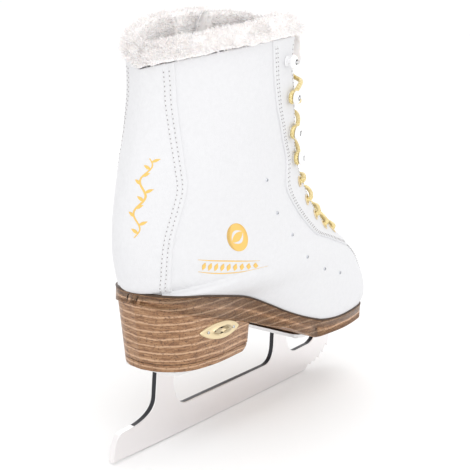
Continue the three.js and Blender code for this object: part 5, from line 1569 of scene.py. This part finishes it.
def lace():
    """The lace: a round gold braid along its whole route, its raised crowns where three waves wound each way
    round it cross."""
    first, first_guide = strand(-1, 0)
    second, second_guide = strand(1, CROSSING_LIFT)
    low = EYELET_T[-1]
    y = np.array([0.9, 0.45, 0, -0.45, -0.9])
    side = np.where(y >= 0, -1.0, 1.0)
    s = side * s_at(low, np.abs(y) * throat_half(low), side)
    bar = upper(np.full(5, low), s, OVER_EDGE + 0.2)
    points = np.concatenate([first[::-1], bar, second])
    guides = np.concatenate([first_guide[::-1], normal(np.full(5, low), s), second_guide])
    path, up = flowing_path(points, guides, LACE_STEP)
    sides = 14
    mesh, faces = tube_mesh(path, LACE_RADIUS, sides, up)
    run = np.arange(len(path))[:, None] * LACE_STEP
    angle = np.linspace(0, 2 * np.pi, sides, endpoint=False)[None]
    braid = np.cos(run * BRAID_TURN + 3 * angle) * np.cos(run * BRAID_TURN - 3 * angle)
    ring = mesh[:len(path) * sides].reshape(len(path), sides, 3)
    ring += (ring - path[:, None]) * (0.07 * braid)[..., None]
    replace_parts(make("lace_braid", mesh, faces, GOLD_LACE), "lace")


lace()

# ------------------------------------------------------------------ inner and carried-over pieces

PLATE_EDGE = 0.4
CARRIED_OVER = {"insole_board": BOARD, "heel_counter": BOARD, "toe_puff": BOARD, "ankle_padding": LINING,
                "shank": PLATE, "sole_plate": PLATE, "heel_plate": PLATE}
for name, material in CARRIED_OVER.items():
    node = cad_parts[name]
    node.data.materials.clear()
    node.data.materials.append(material)
    if material is PLATE:
        edge = node.modifiers.new("edge", "BEVEL")
        edge.width = PLATE_EDGE * MM
        edge.segments = 2
        edge.limit_method = "ANGLE"

# ------------------------------------------------------------------ studio

CAMERA_AZIMUTH, CAMERA_HEIGHT, CAMERA_ROLL = 56.67, 13.16, 2.32
CAMERA_AIM = (-3.71, 0, 126.89)
CAMERA_DISTANCE = 0.8909
CAMERA_LENS = 98.0
LIT_POINT = (0, 0, 0.12)
LAMPS = (("key", (-0.9, -0.7, 1.3), 1.1, 5.0), ("fill", (0.3, -1.4, 0.5), 1.2, 1.2),
         ("rim", (0.9, 0.9, 1.0), 1.0, 3.0))
FLOOR_REACH = 4
FLOOR_Z = -0.0006


def studio():
    """Camera at the skate's rear outer quarter, a pale floor, and wide soft lights."""
    scene = bpy.context.scene
    az, el, roll = (math.radians(a) for a in (CAMERA_AZIMUTH, CAMERA_HEIGHT, CAMERA_ROLL))
    back = Vector((-math.sin(az) * math.cos(el), -math.cos(az) * math.cos(el), math.sin(el)))
    right = Vector((math.cos(az), -math.sin(az), 0))
    up = back.cross(right)
    r2 = right * math.cos(roll) + up * math.sin(roll)
    u2 = -right * math.sin(roll) + up * math.cos(roll)
    place = Vector(CAMERA_AIM) * MM + back * CAMERA_DISTANCE
    data = bpy.data.cameras.new("camera")
    data.lens = CAMERA_LENS
    data.sensor_width = 36
    camera = bpy.data.objects.new("camera", data)
    scene.collection.objects.link(camera)
    camera.matrix_world = Matrix(((r2.x, u2.x, back.x, place.x), (r2.y, u2.y, back.y, place.y),
                                  (r2.z, u2.z, back.z, place.z), (0, 0, 0, 1)))
    scene.camera = camera
    world = bpy.data.worlds.new("world")
    world.use_nodes = True
    world.node_tree.nodes["Background"].inputs["Color"].default_value = (1, 1, 1, 1)
    world.node_tree.nodes["Background"].inputs["Strength"].default_value = 1.1
    scene.world = world
    scene.view_settings.view_transform = "Standard"
    for name, spot, size, power in LAMPS:
        lamp = bpy.data.lights.new(name, "AREA")
        lamp.size = size
        lamp.energy = power
        o = bpy.data.objects.new(name, lamp)
        o.location = spot
        o.rotation_euler = (Vector(LIT_POINT) - Vector(spot)).to_track_quat("-Z", "Y").to_euler()
        scene.collection.objects.link(o)
    mesh = bpy.data.meshes.new("floor")
    corners = [(x * FLOOR_REACH, y * FLOOR_REACH, FLOOR_Z) for x, y in ((-1, -1), (1, -1), (1, 1), (-1, 1))]
    mesh.from_pydata(corners, [], [(0, 1, 2, 3)])
    floor = bpy.data.objects.new("floor", mesh)
    m = Shader("floor", (0.93, 0.93, 0.93), 0.9)
    m.bump(m.noise(0.01, 2), 0.05, 0.05)
    mesh.materials.append(m.material)
    scene.collection.objects.link(floor)


studio()
